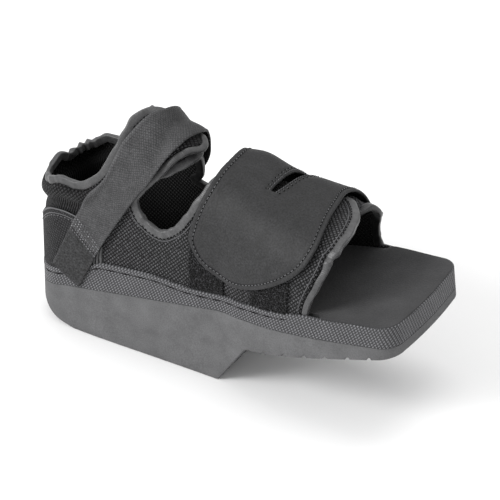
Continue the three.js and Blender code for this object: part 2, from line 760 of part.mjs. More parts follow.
// A rounded tape folded over an edge: a six-sided section along a curve on the horseshoe surface.
function edgeTape(curve) {
  const sides = 6;
  const rings = curve.map((p, i) => {
    const before = curve[Math.max(0, i - 1)];
    const after = curve[Math.min(curve.length - 1, i + 1)];
    const centre = offHorseshoe(p.x, p.y, -UPPER_WALL / 2);
    const start = offHorseshoe(before.x, before.y, -UPPER_WALL / 2);
    const end = offHorseshoe(after.x, after.y, -UPPER_WALL / 2);
    const normal = normalAt(horseshoe, p.x, p.y, -1);
    const along = end.sub(start).normalize();
    const side = along.clone().cross(normal).normalize();
    const ring = [];
    for (let k = 0; k < sides; k++) {
      const angle = (2 * Math.PI * k) / sides;
      const point = centre.clone().addScaledVector(side, (TAPE_WIDTH / 2) * Math.cos(angle));
      ring.push(point.addScaledVector(normal, (TAPE_THICKNESS / 2) * Math.sin(angle) * 1.15));
    }
    return ring;
  });
  return skinned(rings, false);
}

function collarTape() {
  const far = edgeCurve(FAR_EDGE, EDGE_STEPS);
  const near = flip(edgeCurve(NEAR_EDGE, EDGE_STEPS).slice(1)).reverse();
  return edgeTape([...near, ...far]);
}

const nearFrontTape = () => edgeTape(flip(edgeCurve(NEAR_FRONT, FRONT_STEPS)));
const farFrontTape = () => edgeTape(edgeCurve(FAR_FRONT, FRONT_STEPS));

// Smooth patch round the back of the heel.
const COUNTER = [
  { along: -0.069, rise: 0.185 },
  { along: 0, rise: 0.2 },
  { along: 0.04, rise: 0.235 },
  { along: 0.07, rise: 0.25 },
  { along: 0.11, rise: 0.249 },
  { along: 0.165, rise: 0.238 },
];
function heelCounter() {
  const top = edgeCurve(COUNTER, 18);
  const end = top[top.length - 1];
  const low = [];
  const steps = 16;
  for (let i = 0; i <= steps; i++) {
    const s = end.x * (1 - i / steps);
    const x = horseshoe(s, 0).x;
    low.push(new THREE.Vector2(s, stripTop(x) - upperBase(x) + 2 * CLEARANCE));
  }
  const far = [...top, ...low];
  far[0].x = 0;
  const near = flip(far.slice(1, -1)).reverse();
  const cell = { x: 7, y: 9 };
  const inner = 2.5 * CLEARANCE;
  const outer = inner + COUNTER_THICKNESS;
  return patternPiece([...far, ...near], [], offHorseshoe, inner, outer, cell);
}

// Outline of the instep flap, from its rear edge on the far side over the near end to its front
// edge on the far side. A rise over 1 lies on the far side, as far down from the crest.
const FLAP = [
  { along: 0.452, rise: 1.92 },
  { along: 0.444, rise: 1.6 },
  { along: 0.456, rise: 1.3 },
  { along: 0.467, rise: 1.1 },
  { along: 0.468, rise: 0.92 },
  { along: 0.468, rise: 0.8 },
  { along: 0.459, rise: 0.67 },
  { along: 0.45, rise: 0.54 },
  { along: 0.446, rise: 0.42 },
  { along: 0.473, rise: 0.29 },
  { along: 0.519, rise: 0.204 },
  { along: 0.58, rise: 0.153 },
  { along: 0.645, rise: 0.19 },
  { along: 0.7, rise: 0.27 },
  { along: 0.742, rise: 0.368 },
  { along: 0.765, rise: 0.47 },
  { along: 0.774, rise: 0.6 },
  { along: 0.768, rise: 0.745 },
  { along: 0.758, rise: 0.91 },
  { along: 0.75, rise: 1.07 },
  { along: 0.742, rise: 1.21 },
  { along: 0.744, rise: 1.38 },
  { along: 0.754, rise: 1.6 },
  { along: 0.772, rise: 1.92 },
  { along: 0.72, rise: 1.935 },
  { along: 0.65, rise: 1.935 },
  { along: 0.58, rise: 1.93 },
  { along: 0.51, rise: 1.925 },
];

// Middle of the slot in the flap, by its share of the length and its distance past the crest in
// millimetres, and its width as a share of SLOT_WIDTH.
const SLOT = [
  { along: 0.608, past: -9, wide: 0.35 },
  { along: 0.61, past: -3, wide: 0.55 },
  { along: 0.612, past: 4, wide: 0.65 },
  { along: 0.614, past: 12, wide: 0.75 },
  { along: 0.618, past: 20, wide: 0.85 },
  { along: 0.628, past: 31, wide: 0.85 },
  { along: 0.636, past: 40, wide: 0.3 },
];

// The flap hugs the vamp at its near end, arches a little over the throat, and stands up in a fold
// at its rear corner, just past the crest.
const FLAP_CROWN = 1.2;
const CROWN_SPREAD = 30;
const FOLD_HEIGHT = 8;
const FOLD_ALONG = 0.516 * LENGTH;
const FOLD_PAST = 24;
const FOLD_LENGTH = 19;
const FOLD_WIDTH = 24;
function flapRelief(x, q) {
  const crown = FLAP_CROWN * Math.exp(-((q / CROWN_SPREAD) ** 2));
  const along = (x - FOLD_ALONG) / FOLD_LENGTH;
  const across = (q - FOLD_PAST) / FOLD_WIDTH;
  return FLAP_RELIEF + crown + FOLD_HEIGHT * Math.exp(-along * along - across * across);
}

function instepFlap() {
  const outline = new THREE.SplineCurve(
    FLAP.map((row) => {
      const x = row.along * LENGTH;
      return new THREE.Vector2(x, (row.rise - 1) * girth(x));
    }),
  ).getPoints(66);
  const side = (way) =>
    SLOT.map((row) => {
      const x = row.along * LENGTH + (way * row.wide * SLOT_WIDTH) / 2;
      return new THREE.Vector2(x, row.past);
    });
  const slot = [...side(1), ...side(-1).reverse()];
  const outer = (x, q) => flapRelief(x, q) + FLAP_THICKNESS;
  return patternPiece(outline, [slot], offSaddle, flapRelief, outer, { x: 9, y: 8 });
}

// Pile strips on the near half of the vamp, from the strip up under the flap.
function loopPatch(from, to) {
  const low = (x) => stripTop(x) - upperBase(x) + CLEARANCE;
  const left = from * LENGTH;
  const right = to * LENGTH;
  const up = 0.5;
  const outline = [
    new THREE.Vector2(-horseshoeAt(left), low(left)),
    new THREE.Vector2(-horseshoeAt(left), up * girth(left)),
    new THREE.Vector2(-horseshoeAt(right), up * girth(right)),
    new THREE.Vector2(-horseshoeAt(right), low(right)),
  ];
  return patternPiece(outline, [], offHorseshoe, CLEARANCE, CLEARANCE + PILE_THICKNESS, { x: 9, y: 9 });
}

// The ankle strap's two edges, from its near foot over the crest to its far foot. A rise over 1 lies
// on the far side, as far down from the crest. lift is its distance off the last.
const STRAP = [
  { rear: 0.078, rearRise: 0.048, front: 0.152, frontRise: -0.033, lift: 2.6 },
  { rear: 0.108, rearRise: 0.135, front: 0.179, frontRise: 0.045, lift: 2.6 },
  { rear: 0.137, rearRise: 0.224, front: 0.205, frontRise: 0.133, lift: 2.6 },
  { rear: 0.185, rearRise: 0.376, front: 0.25, frontRise: 0.3, lift: 2.8 },
  { rear: 0.22, rearRise: 0.49, front: 0.291, frontRise: 0.476, lift: 3 },
  { rear: 0.241, rearRise: 0.63, front: 0.315, frontRise: 0.58, lift: 3 },
  { rear: 0.254, rearRise: 0.735, front: 0.335, frontRise: 0.68, lift: 3 },
  { rear: 0.269, rearRise: 0.83, front: 0.352, frontRise: 0.77, lift: 2.8 },
  { rear: 0.286, rearRise: 0.93, front: 0.37, frontRise: 0.88, lift: 2.4 },
  { rear: 0.3, rearRise: 1, front: 0.381, frontRise: 1, lift: 2.2 },
  { rear: 0.304, rearRise: 1.08, front: 0.385, frontRise: 1.09, lift: 2.2 },
  { rear: 0.298, rearRise: 1.18, front: 0.377, frontRise: 1.2, lift: 2.4 },
  { rear: 0.288, rearRise: 1.29, front: 0.369, frontRise: 1.32, lift: 2.6 },
  { rear: 0.274, rearRise: 1.41, front: 0.36, frontRise: 1.43, lift: 2.6 },
  { rear: 0.253, rearRise: 1.54, front: 0.34, frontRise: 1.53, lift: 2.6 },
  { rear: 0.22, rearRise: 1.64, front: 0.302, frontRise: 1.64, lift: 2.6 },
  { rear: 0.185, rearRise: 1.74, front: 0.26, frontRise: 1.78, lift: 2.6 },
  { rear: 0.155, rearRise: 1.85, front: 0.215, frontRise: 1.9, lift: 2.6 },
  { rear: 0.125, rearRise: 1.98, front: 0.178, frontRise: 2.025, lift: 2.6 },
];
const STRAP_JOINT = 2;
const JOINT_GAP = 0.03;

// A point off the last, by its share of the length and its rise; a rise over 1 is on the far side.
function offLast(x, rise, distance) {
  if (x < HEEL_ROUND) return offHorseshoe(-horseshoeAt(x), rise * girth(HEEL_ROUND), distance);
  const share = rise > 1 ? rise - 1 : 1 - rise;
  const q = (rise > 1 ? 1 : -1) * share * girth(x);
  const pad = padding(Math.sign(q) * horseshoeAt(x), girth(x) - Math.abs(q));
  return offSaddle(x, q, distance + pad);
}

// A strap between two table rows, with its edges on smooth curves.
function strapPiece(from, to, steps) {
  const spline = (first, second) =>
    new THREE.CatmullRomCurve3(
      STRAP.map((row, i) => new THREE.Vector3(row[first], row[second], row.lift)),
    );
  const rear = spline("rear", "rearRise");
  const front = spline("front", "frontRise");
  const across = 3;
  const rings = [];
  for (let i = 0; i <= steps; i++) {
    const t = (from + ((to - from) * i) / steps) / (STRAP.length - 1);
    const a = rear.getPoint(t);
    const b = front.getPoint(t);
    const low = [];
    const high = [];
    for (let k = 0; k <= across; k++) {
      const mid = a.clone().lerp(b, k / across);
      low.push(offLast(mid.x * LENGTH, mid.y, mid.z));
      high.push(offLast(mid.x * LENGTH, mid.y, mid.z + STRAP_THICKNESS));
    }
    rings.push([...low, ...high.reverse()]);
  }
  return skinned(rings, false);
}

const material = (colour, roughness) =>
  new THREE.MeshStandardMaterial({ color: colour, roughness, metalness: 0 });
const FOAM = material(0x4b4b4c, 0.75);
const BOARD = material(0x2a2a2b, 0.9);
const BED = material(0x3a3a3b, 0.85);
const WEBBING = material(0x535354, 0.8);
const MESH = material(0x2c2c2d, 0.9);
const SATIN = material(0x6a6a6b, 0.45);
const LAMINATE = material(0x404041, 0.85);
const PILE = material(0x1a1a1b, 1);

const shoe = new THREE.Group();
shoe.name = "post_operative_shoe";
shoe.position.set(-ORIGIN_FROM_HEEL, 0, 0);

function add(name, geometry, finish) {
  const mesh = new THREE.Mesh(geometry, finish);
  mesh.name = name;
  shoe.add(mesh);
}

const seatGap = (x) => seatHeight(x) + CLEARANCE;
const insoleBase = (x) => midsoleTop(x) + CLEARANCE;
const insoleTop = (x) => insoleBase(x) + INSOLE_THICKNESS;

add("outsole", outsole(), FOAM);
add("midsole", layer(seatGap, midsoleTop, block(STRIP_INSET)), BOARD);
add("insole", layer(insoleBase, insoleTop, bedPlan()), BED);
add("foxing_strip", foxingStrip(), WEBBING);
add("upper", upper(), MESH);
add("collar_tape", collarTape(), SATIN);
add("vamp_tape_near", nearFrontTape(), SATIN);
add("vamp_tape_far", farFrontTape(), SATIN);
add("heel_counter", heelCounter(), LAMINATE);
add("loop_patch_rear", loopPatch(0.447, 0.536), PILE);
add("loop_patch_front", loopPatch(0.625, 0.722), PILE);
add("instep_flap", instepFlap(), LAMINATE);
add("strap_foot_near", strapPiece(0, STRAP_JOINT, 8), LAMINATE);
add("ankle_strap", strapPiece(STRAP_JOINT + JOINT_GAP, STRAP.length - 1, 45), WEBBING);

const world = new THREE.Group();
world.add(shoe);
export default world;
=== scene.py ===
"""Looks of the post operative shoe: foam wedge, woven strip, padded upper, tape, flap and strap.

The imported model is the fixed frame. Every piece is drawn on the shoe's own last, in millimetres
from the back of the heel, and is handed over in the frame's metres. The near side is negative.
"""

import logging
import math
from dataclasses import dataclass, field
from enum import Enum
from typing import Callable, Sequence

import bpy
import numpy as np
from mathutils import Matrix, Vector
from mathutils.geometry import delaunay_2d_cdt
from mathutils.kdtree import KDTree


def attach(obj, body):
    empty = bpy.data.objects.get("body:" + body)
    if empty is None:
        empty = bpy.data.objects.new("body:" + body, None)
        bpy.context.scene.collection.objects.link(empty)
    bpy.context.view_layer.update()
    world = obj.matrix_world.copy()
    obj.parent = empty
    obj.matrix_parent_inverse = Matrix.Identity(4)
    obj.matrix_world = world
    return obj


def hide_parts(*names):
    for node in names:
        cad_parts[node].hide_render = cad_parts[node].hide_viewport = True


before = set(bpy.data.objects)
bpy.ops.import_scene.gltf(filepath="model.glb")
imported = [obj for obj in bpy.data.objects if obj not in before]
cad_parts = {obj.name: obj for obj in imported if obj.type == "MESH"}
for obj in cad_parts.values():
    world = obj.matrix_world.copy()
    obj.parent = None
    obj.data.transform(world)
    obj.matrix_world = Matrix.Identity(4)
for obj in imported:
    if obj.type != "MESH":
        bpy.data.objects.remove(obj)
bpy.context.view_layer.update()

LOG = logging.getLogger("shoe")
Array = np.ndarray
Surface = Callable[[Array, Array], Array]
Run = Callable[[Array], Array]
# The one body that everything rides on.
BODY = "root"
# How many points are tested at once.
CHUNK = 4000
# How far to each side of a place a surface's direction is measured, in millimetres.
STEP = 0.4


@dataclass(frozen=True)
class ShoeSizes:
    """The shoe's driving sizes, in millimetres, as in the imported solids."""

    length: float = 290.0
    ball_width: float = 100.0
    origin_from_heel: float = 48.0
    toe_height: float = 76.0
    toe_thickness: float = 6.8
    wedge_length: float = 151.0
    wedge_front_run: float = 24.5
    wedge_front_height: float = 36.5
    nose_radius: float = 4.0
    throat_radius: float = 5.0
    heel_curve: float = 38.0
    heel_curve_square: float = 1.45
    heel_edge: float = 4.0
    heel_round: float = 28.0
    heel_square: float = 2.05
    heel_arc: float = 48.0
    toe_corner: float = 14.0
    toe_bow: float = 2.0
    toe_lean: float = math.radians(6.0)
    lean_run: float = 50.0
    tread_pitch: float = 16.0
    tread_groove: float = 2.6
    tread_depth: float = 1.6
    strip_height: float = 15.5
    strip_thickness: float = 1.8
    midsole: float = 12.0
    insole: float = 3.0
    instep: float = 136.0
    ankle: float = 182.0
    wall: float = 2.6
    ankle_lap: float = 8.0
    vamp_lap: float = 4.8
    pad: float = 2.4
    tape_width: float = 6.0
    counter: float = 1.2
    flap: float = 2.4
    flap_relief: float = 1.9
    slot: float = 8.0
    pile: float = 1.2
    strap: float = 2.0
    strap_width: float = 25.0
    clearance: float = 0.3

    @property
    def strip_inset(self) -> float:
        """How far the last stands in from the sole's outline."""
        return self.strip_thickness + self.clearance


SIZES = ShoeSizes()

# Shares of the length, and of half the ball width.
PLAN = (
    (0.09, 0.7), (0.207, 0.73), (0.362, 0.74), (0.517, 0.757), (0.6, 0.88),
    (0.707, 0.992), (0.776, 1.0), (0.9, 0.965), (1.0, 0.92),
)
# Shares of the length, and of the seat's height, the strip's height and the midsole at the toe.
PLATFORM = (
    (0.0, 0.316, 0.98, 0.6), (0.052, 0.378, 0.84, 0.6), (0.103, 0.434, 0.84, 0.6),
    (0.145, 0.467, 1.02, 0.61), (0.21, 0.514, 1.42, 0.62), (0.26, 0.549, 1.37, 0.63),
    (0.345, 0.605, 1.26, 0.65), (0.445, 0.673, 0.9, 0.68), (0.517, 0.724, 0.81, 0.7),
    (0.69, 0.836, 0.89, 0.82), (0.783, 0.886, 1.04, 0.88), (0.862, 0.928, 1.03, 0.93),
    (1.0, 1.0, 1.0, 1.0),
)
# Shares of the length, of the ankle's and the instep's height, and the section's squareness.
SECTIONS = (
    (0.09, 1.3, 0.0, 2.6), (0.172, 1.22, 0.0, 2.5), (0.207, 1.125, 0.0, 2.5),
    (0.241, 1.03, 0.0, 2.5), (0.276, 0.95, 0.0, 2.5), (0.32, 0.895, 0.0, 2.4),
    (0.372, 0.56, 0.4, 2.4), (0.417, 0.25, 0.76, 2.6), (0.46, 0.05, 0.975, 2.8),
    (0.52, 0.0, 1.01, 2.9), (0.69, 0.0, 0.985, 2.9), (0.8, 0.0, 0.97, 3.0), (0.9, 0.0, 0.96, 3.0),
)
# Edges of the upper, along the tape's middle: share of the length, and of the way over the last.
COLLAR = (
    (-0.069, 0.345), (0.0, 0.34), (0.05, 0.344), (0.09, 0.353), (0.146, 0.358), (0.178, 0.395),
    (0.205, 0.47), (0.222, 0.545),
)
NEAR_WING = (
    (0.25, 0.715), (0.262, 0.83), (0.27, 0.88), (0.2775, 0.93), (0.2895, 0.985), (0.311, 1.035),
    (0.333, 1.08), (0.36, 1.11), (0.39, 1.085), (0.406, 1.02), (0.396, 0.94), (0.373, 0.849),
    (0.355, 0.776), (0.339, 0.7), (0.325, 0.64), (0.306, 0.561),
)
FAR_WING = (
    (0.252, 0.68), (0.27, 0.8), (0.281, 0.92), (0.287, 1.05), (0.289, 1.17), (0.291, 1.24),
    (0.297, 1.29), (0.314, 1.32), (0.336, 1.31), (0.357, 1.27), (0.38, 1.2), (0.4, 1.1),
    (0.408, 0.98), (0.39, 0.86), (0.36, 0.72), (0.342, 0.6),
)
SIDE_CUT = (
    (0.29, 0.5), (0.297, 0.435), (0.321, 0.39), (0.365, 0.356), (0.405, 0.425), (0.43, 0.525),
    (0.444, 0.62), (0.46, 0.725), (0.468, 0.82),
)
FAR_CUT_START = (0.338, 0.45)
NEAR_END = ((0.478, 0.95), (0.486, 1.08))
FAR_END = ((0.478, 0.93),)
NEAR_EDGE = (*COLLAR, *NEAR_WING, *SIDE_CUT, *NEAR_END)
FAR_EDGE = (*COLLAR, *FAR_WING, FAR_CUT_START, *SIDE_CUT[2:], *FAR_END)
NEAR_FRONT = (
    (0.764, 0.06), (0.77, 0.15), (0.79, 0.33), (0.8, 0.45), (0.802, 0.53), (0.811, 0.635),
    (0.8125, 0.785), (0.806, 0.925), (0.796, 1.03), (0.78, 1.12), (0.757, 1.2), (0.738, 1.225),
)
FAR_FRONT = (
    (0.776, 0.06), (0.771, 0.12), (0.768, 0.18), (0.769, 0.26), (0.777, 0.35), (0.788, 0.43),
    (0.797, 0.51), (0.8, 0.59), (0.797, 0.67), (0.79, 0.74), (0.78, 0.79), (0.766, 0.82),
)
COUNTER = ((-0.069, 0.185), (0.0, 0.2), (0.04, 0.235), (0.07, 0.25), (0.11, 0.249), (0.165, 0.238))
FLAP = (
    (0.452, 1.92), (0.444, 1.6), (0.456, 1.3), (0.467, 1.1), (0.468, 0.92), (0.468, 0.8),
    (0.459, 0.67), (0.45, 0.54), (0.446, 0.42), (0.473, 0.29), (0.519, 0.204), (0.58, 0.153),
    (0.645, 0.19), (0.7, 0.27), (0.742, 0.368), (0.765, 0.47), (0.774, 0.6), (0.768, 0.745),
    (0.758, 0.91), (0.75, 1.07), (0.742, 1.21), (0.744, 1.38), (0.754, 1.6), (0.772, 1.92),
    (0.72, 1.935), (0.65, 1.935), (0.58, 1.93), (0.51, 1.925),
)
# Middle of the slot: share of the length, millimetres past the crest, share of its width.
SLOT = (
    (0.608, -9, 0.35), (0.61, -3, 0.55), (0.612, 4, 0.65), (0.614, 12, 0.75), (0.618, 20, 0.85),
    (0.628, 31, 0.85), (0.636, 40, 0.3),
)
# The ankle strap's rear and front edge, each a share of the length and a rise, and its lift.
STRAP = (
    (0.078, 0.048, 0.152, -0.033, 2.6), (0.108, 0.135, 0.179, 0.045, 2.6),
    (0.137, 0.224, 0.205, 0.133, 2.6), (0.185, 0.376, 0.25, 0.3, 2.8),
    (0.22, 0.49, 0.291, 0.476, 3.0), (0.241, 0.63, 0.315, 0.58, 3.0),
    (0.254, 0.735, 0.335, 0.68, 3.0), (0.269, 0.83, 0.352, 0.77, 2.8),
    (0.286, 0.93, 0.37, 0.88, 2.4), (0.3, 1.0, 0.381, 1.0, 2.2), (0.304, 1.08, 0.385, 1.09, 2.2),
    (0.298, 1.18, 0.377, 1.2, 2.4), (0.288, 1.29, 0.369, 1.32, 2.6),
    (0.274, 1.41, 0.36, 1.43, 2.6), (0.253, 1.54, 0.34, 1.53, 2.6), (0.22, 1.64, 0.302, 1.64, 2.6),
    (0.185, 1.74, 0.26, 1.78, 2.6), (0.155, 1.85, 0.215, 1.9, 2.6),
    (0.125, 1.98, 0.178, 2.025, 2.6),
)
# The strap's row at which its foot ends, and how many rows before it the webbing starts.
STRAP_JOINT = 2
JOINT_GAP = 0.03


class Column:
    """A smooth function through one column of a table, without overshoot between its rows."""

    def __init__(self, rows: Sequence[Sequence[float]], index: int, size: float) -> None:
        """Takes the rows.

        Args:
            rows: The table; its first column is a share of the length.
            index: The column to follow.
            size: What the column's shares are shares of.
        """
        self.xs = np.array([row[0] for row in rows]) * SIZES.length
        self.ys = np.array([row[index] for row in rows]) * size
        slopes = np.diff(self.ys) / np.diff(self.xs)
        before, after = slopes[:-1], slopes[1:]
        same = before * after > 0
        total = np.where(same, before + after, 1.0)
        middle = np.where(same, 2 * before * after / total, 0.0)
        self.tangents = np.concatenate([slopes[:1], middle, slopes[-1:]])

    def __call__(self, x: Array) -> Array:
        """The column's value.

        Args:
            x: Millimetres from the heel.

        Returns:
            The value at each x.
        """
        x = np.asarray(x, float)
        i = np.clip(np.searchsorted(self.xs, x, side="right") - 1, 0, len(self.xs) - 2)
        run = self.xs[i + 1] - self.xs[i]
        t = np.clip((x - self.xs[i]) / run, 0, 1)
        rise = (3 - 2 * t) * t * t
        lead = t * (1 - t) ** 2 * self.tangents[i] * run
        tail = t * t * (1 - t) * self.tangents[i + 1] * run
        value = self.ys[i] * (1 - rise) + self.ys[i + 1] * rise + lead - tail
        value = value + self.tangents[0] * np.minimum(x - self.xs[0], 0)
        return value + self.tangents[-1] * np.maximum(x - self.xs[-1], 0)


def smoothstep(x: Array, low: float, high: float) -> Array:
    """Rises smoothly from 0 at low to 1 at high."""
    t = np.clip((np.asarray(x, float) - low) / (high - low), 0, 1)
    return t * t * (3 - 2 * t)


def hump(x: Array, middle: float, spread: float) -> Array:
    """A soft hump of height 1."""
    return np.exp(-(((np.asarray(x, float) - middle) / spread) ** 2))


def swell(x: Array, q: Array, height: float, at: Sequence, spread: Sequence) -> Array:
    """A soft round swelling over a surface, at a place and with a spread both ways."""
    return height * hump(x, at[0], spread[0]) * hump(q, at[1], spread[1])


def plateau(x: Array, start: float, full: float, fade: float, end: float) -> Array:
    """Rises smoothly from 0 at start to 1 at full, and falls again from fade to end."""
    return smoothstep(x, start, full) * (1 - smoothstep(x, fade, end))


def level(height: float) -> Surface:
    """A distance that is the same everywhere."""
    return lambda a, b: np.full_like(a, height)


def length_of(vectors: Array) -> Array:
    """The length of each row."""
    return np.sqrt((vectors * vectors).sum(-1))


def unit(vectors: Array) -> Array:
    """Each row at length 1."""
    return vectors / np.maximum(length_of(vectors), 1e-9)[..., None]


def run_of(points: Array) -> Array:
    """How far along a line each of its points lies."""
    return np.concatenate([[0], np.cumsum(length_of(np.diff(points, axis=0)))])


def beside(loop: Array) -> Array:
    """The direction square to a closed flat loop, at each of its points."""
    t = unit(np.roll(loop, -1, 0) - np.roll(loop, 1, 0))
    return np.stack([-t[:, 1], t[:, 0]], 1)


def spline(rows: Sequence[Sequence[float]], steps: int) -> Array:
    """Points of a smooth curve through rows of numbers.

    Args:
        rows: The points to pass through.
        steps: How many stretches to divide the curve into.

    Returns:
        The steps + 1 points.
    """
    points = np.array(rows, float)
    t = np.linspace(0, len(points) - 1, steps + 1)
    i = np.minimum(t.astype(int), len(points) - 2)
    w = (t - i)[:, None]
    a, b = points[np.maximum(i - 1, 0)], points[i]
    c, d = points[i + 1], points[np.minimum(i + 2, len(points) - 1)]
    lead, tail = (c - a) / 2, (d - b) / 2
    cubic = (2 * b - 2 * c + lead + tail) * w**3
    return cubic + (-3 * b + 3 * c - 2 * lead - tail) * w**2 + lead * w + b


def even(points: Array, pitch: float, closed: bool = False, guide: Array | None = None) -> Array:
    """Points spread evenly along a line.

    Args:
        points: The line's points.
        pitch: The distance wanted between them.
        closed: Whether the line closes on its first point.
        guide: Points whose distances are used instead, row for row.

    Returns:
        The new points; a closed line doesn't repeat its first.
    """
    if closed:
        points = np.vstack([points, points[:1]])
        guide = None if guide is None else np.vstack([guide, guide[:1]])
    run = run_of(points if guide is None else guide)
    count = max(2, round(run[-1] / pitch))
    marks = np.linspace(0, run[-1], count + 1)[: count if closed else count + 1]
    return np.stack([np.interp(marks, run, points[:, k]) for k in range(points.shape[1])], 1)


def gaps(points: Array, track: Array) -> Array:
    """How far points lie from a track.

    Args:
        points: The points.
        track: A dense row of points.

    Returns:
        The distance of each point from the nearest point of the track.
    """
    flat = [np.pad(p, ((0, 0), (0, 3 - p.shape[1]))) for p in (points, track)]
    tree = KDTree(len(track))
    for i, p in enumerate(flat[1].tolist()):
        tree.insert(p, i)
    tree.balance()
    return np.array([tree.find(p)[2] for p in flat[0].tolist()])


def normal_at(surface: Surface, a: Array, b: Array, turn: float) -> Array:
    """The outward direction of a surface.

    Args:
        surface: A point by two numbers.
        a: The first number of each place.
        b: The second.
        turn: 1 or -1, so that it looks outwards.

    Returns:
        A direction for each place.
    """
    da = surface(a + STEP, b) - surface(a - STEP, b)
    db = surface(a, b + STEP) - surface(a, b - STEP)
    return unit(np.cross(da, db)) * turn


class Last:
    """The shoe's last: a heel cup that runs on into a saddle over the instep."""

    # How fine the table of cross-sections is: points in each, shares of its girth, and millimetres.
    SECTION_STEPS = 192
    SHARES = 384
    ROW_PITCH = 0.5
    # The padded collar: how far below the edge it is thickest, its spread and where it ends.
    PAD_DROP, PAD_SPREAD, PAD_END = 7.5, 6.0, 80.0
    # The waist below it: how deep and how far down it is, and its spread.
    WAIST_DEPTH, WAIST_DROP, WAIST_SPREAD = 2.0, 15.3, 4.5
    # Where the far half dips under the near half, as shares of the way over the last.
    LAP_START, LAP_END, LAP_DELAY = 0.56, 0.72, 0.17
    # Where the lap goes from the ankle's depth to the vamp's: share of the length, half the run.
    LAP_TURN, LAP_RUN = 0.45, 15
    # Where the far vamp's corner dips later: shares of the length.
    LATE_START, LATE_END = 0.745, 0.805
    # The sag of that corner: its depth, its place and spread as shares, and where it sets in.
    CORNER_SAG, SAG_RISE, SAG_SPREAD, SAG_START, SAG_END = 4.5, 0.53, 0.14, 0.72, 0.785

    def __init__(self) -> None:
        """Works out the heights, and a table of the cross-sections."""
        z = SIZES
        self.half_width = Column(PLAN, 1, z.ball_width / 2)
        self.seat = Column(PLATFORM, 1, z.toe_height)
        self.strip = Column(PLATFORM, 2, z.strip_height)
        self.midsole = Column(PLATFORM, 3, z.midsole)
        self.ankle = Column(SECTIONS, 1, z.ankle)
        self.instep = Column(SECTIONS, 2, z.instep)
        self.square = Column(SECTIONS, 3, 1.0)
        self.collar_rise = Column(COLLAR, 1, 1.0)
        self.xs = np.arange(z.heel_round - 2, z.length - 20, self.ROW_PITCH)
        shares = np.linspace(0, 1, self.SHARES + 1)
        angle = np.linspace(0, math.pi / 2, self.SECTION_STEPS + 1)
        self.ends = np.zeros(len(self.xs))
        self.table = np.zeros((len(self.xs), self.SHARES + 1, 2))
        for i, x in enumerate(self.xs):
            power = 2 / self.square(x)
            base = self.upper_base(x)
            y = (self.half_width(x) - z.strip_inset) * np.maximum(0, np.cos(angle)) ** power
            h = base + (self.crest(x) - base) * np.sin(angle) ** power
            run = np.concatenate([[0], np.cumsum(np.hypot(np.diff(y), np.diff(h)))])
            self.ends[i] = run[-1]
            self.table[i, :, 0] = np.interp(shares * run[-1], run, y)
            self.table[i, :, 1] = np.interp(shares * run[-1], run, h)

    def strip_top(self, x: Array) -> Array:
        """Height of the webbing strip's upper edge."""
        return self.seat(x) + self.strip(x)

    def midsole_top(self, x: Array) -> Array:
        """Height of the midsole's upper face."""
        return self.seat(x) + SIZES.clearance + self.midsole(x)

    def upper_base(self, x: Array) -> Array:
        """Height at which the upper meets the midsole."""
        return self.midsole_top(np.asarray(x) + SIZES.wall) + SIZES.clearance

    def crest(self, x: Array) -> Array:
        """Height of the last's crest."""
        return self.ankle(x) + self.instep(x)

    def girth(self, x: Array) -> Array:
        """Length over the last from its base to its crest."""
        return np.interp(x, self.xs, self.ends)

    def around(self, x: Array, g: Array) -> tuple[Array, Array]:
        """The last's section at x.

        Args:
            x: Millimetres from the heel.
            g: The length up from the section's base.

        Returns:
            Half the width and the height; past the crest the half width is negative.
        """
        end = self.girth(x)
        over = g > end
        within = np.where(over, 2 * end - g, g)
        column = np.clip(within / end, 0, 1) * self.SHARES
        row = np.clip((x - self.xs[0]) / self.ROW_PITCH, 0, len(self.xs) - 1.001)
        i, j = row.astype(int), np.minimum(column.astype(int), self.SHARES - 1)
        v, w = (row - i)[..., None], (column - j)[..., None]
        low = self.table[i, j] * (1 - w) + self.table[i, j + 1] * w
        high = self.table[i + 1, j] * (1 - w) + self.table[i + 1, j + 1] * w
        found = low * (1 - v) + high * v
        return np.where(over, -found[..., 0], found[..., 0]), found[..., 1] + np.minimum(within, 0)

    def horseshoe(self, s: Array, g: Array) -> Array:
        """The surface of the last's sides and heel.

        Args:
            s: The place from the near side, which is negative, round the heel to the far side.
            g: The length up from the base.

        Returns:
            The points.
        """
        z = SIZES
        s, g = np.broadcast_arrays(np.asarray(s, float), np.asarray(g, float))
        past = np.abs(s) - z.heel_arc
        side = np.where(s < 0, -1.0, 1.0)
        x = z.heel_round + np.maximum(past, 0)
        y, h = self.around(x, g)
        angle = np.minimum(np.abs(s) / z.heel_arc, 1) * math.pi / 2
        c = np.cos(angle).clip(0) ** (2 / z.heel_square)
        d = np.sin(angle) ** (2 / z.heel_square)
        back = z.heel_round - (z.heel_round - z.strip_inset) * c
        heel = past < 0
        drop = self.upper_base(back) - self.upper_base(z.heel_round)
        x, y, h = np.where(heel, back, x), y * np.where(heel, d, 1), h + np.where(heel, drop, 0)
        return np.stack([x, side * y, h], -1)

    def saddle(self, x: Array, q: Array) -> Array:
        """The surface over the instep.

        Args:
            x: Millimetres from the heel.
            q: How far across from the crest.

        Returns:
            The points.
        """
        x, q = np.broadcast_arrays(np.asarray(x, float), np.asarray(q, float))
        y, h = self.around(x, self.girth(x) - np.abs(q))
        return np.stack([x, np.where(q < 0, -1.0, 1.0) * y, h], -1)

    def arc_at(self, x: Array) -> Array:
        """The s of a place x along the shoe."""
        return np.asarray(x) - SIZES.heel_round + SIZES.heel_arc

    def x_at(self, s: Array) -> Array:
        """The x of a place s; round the heel it runs on backwards, to tell places apart."""
        return np.abs(s) - SIZES.heel_arc + SIZES.heel_round

    def side_girth(self, x: Array) -> Array:
        """The girth at x, and round the heel the girth where its round starts."""
        return self.girth(np.maximum(x, SIZES.heel_round))

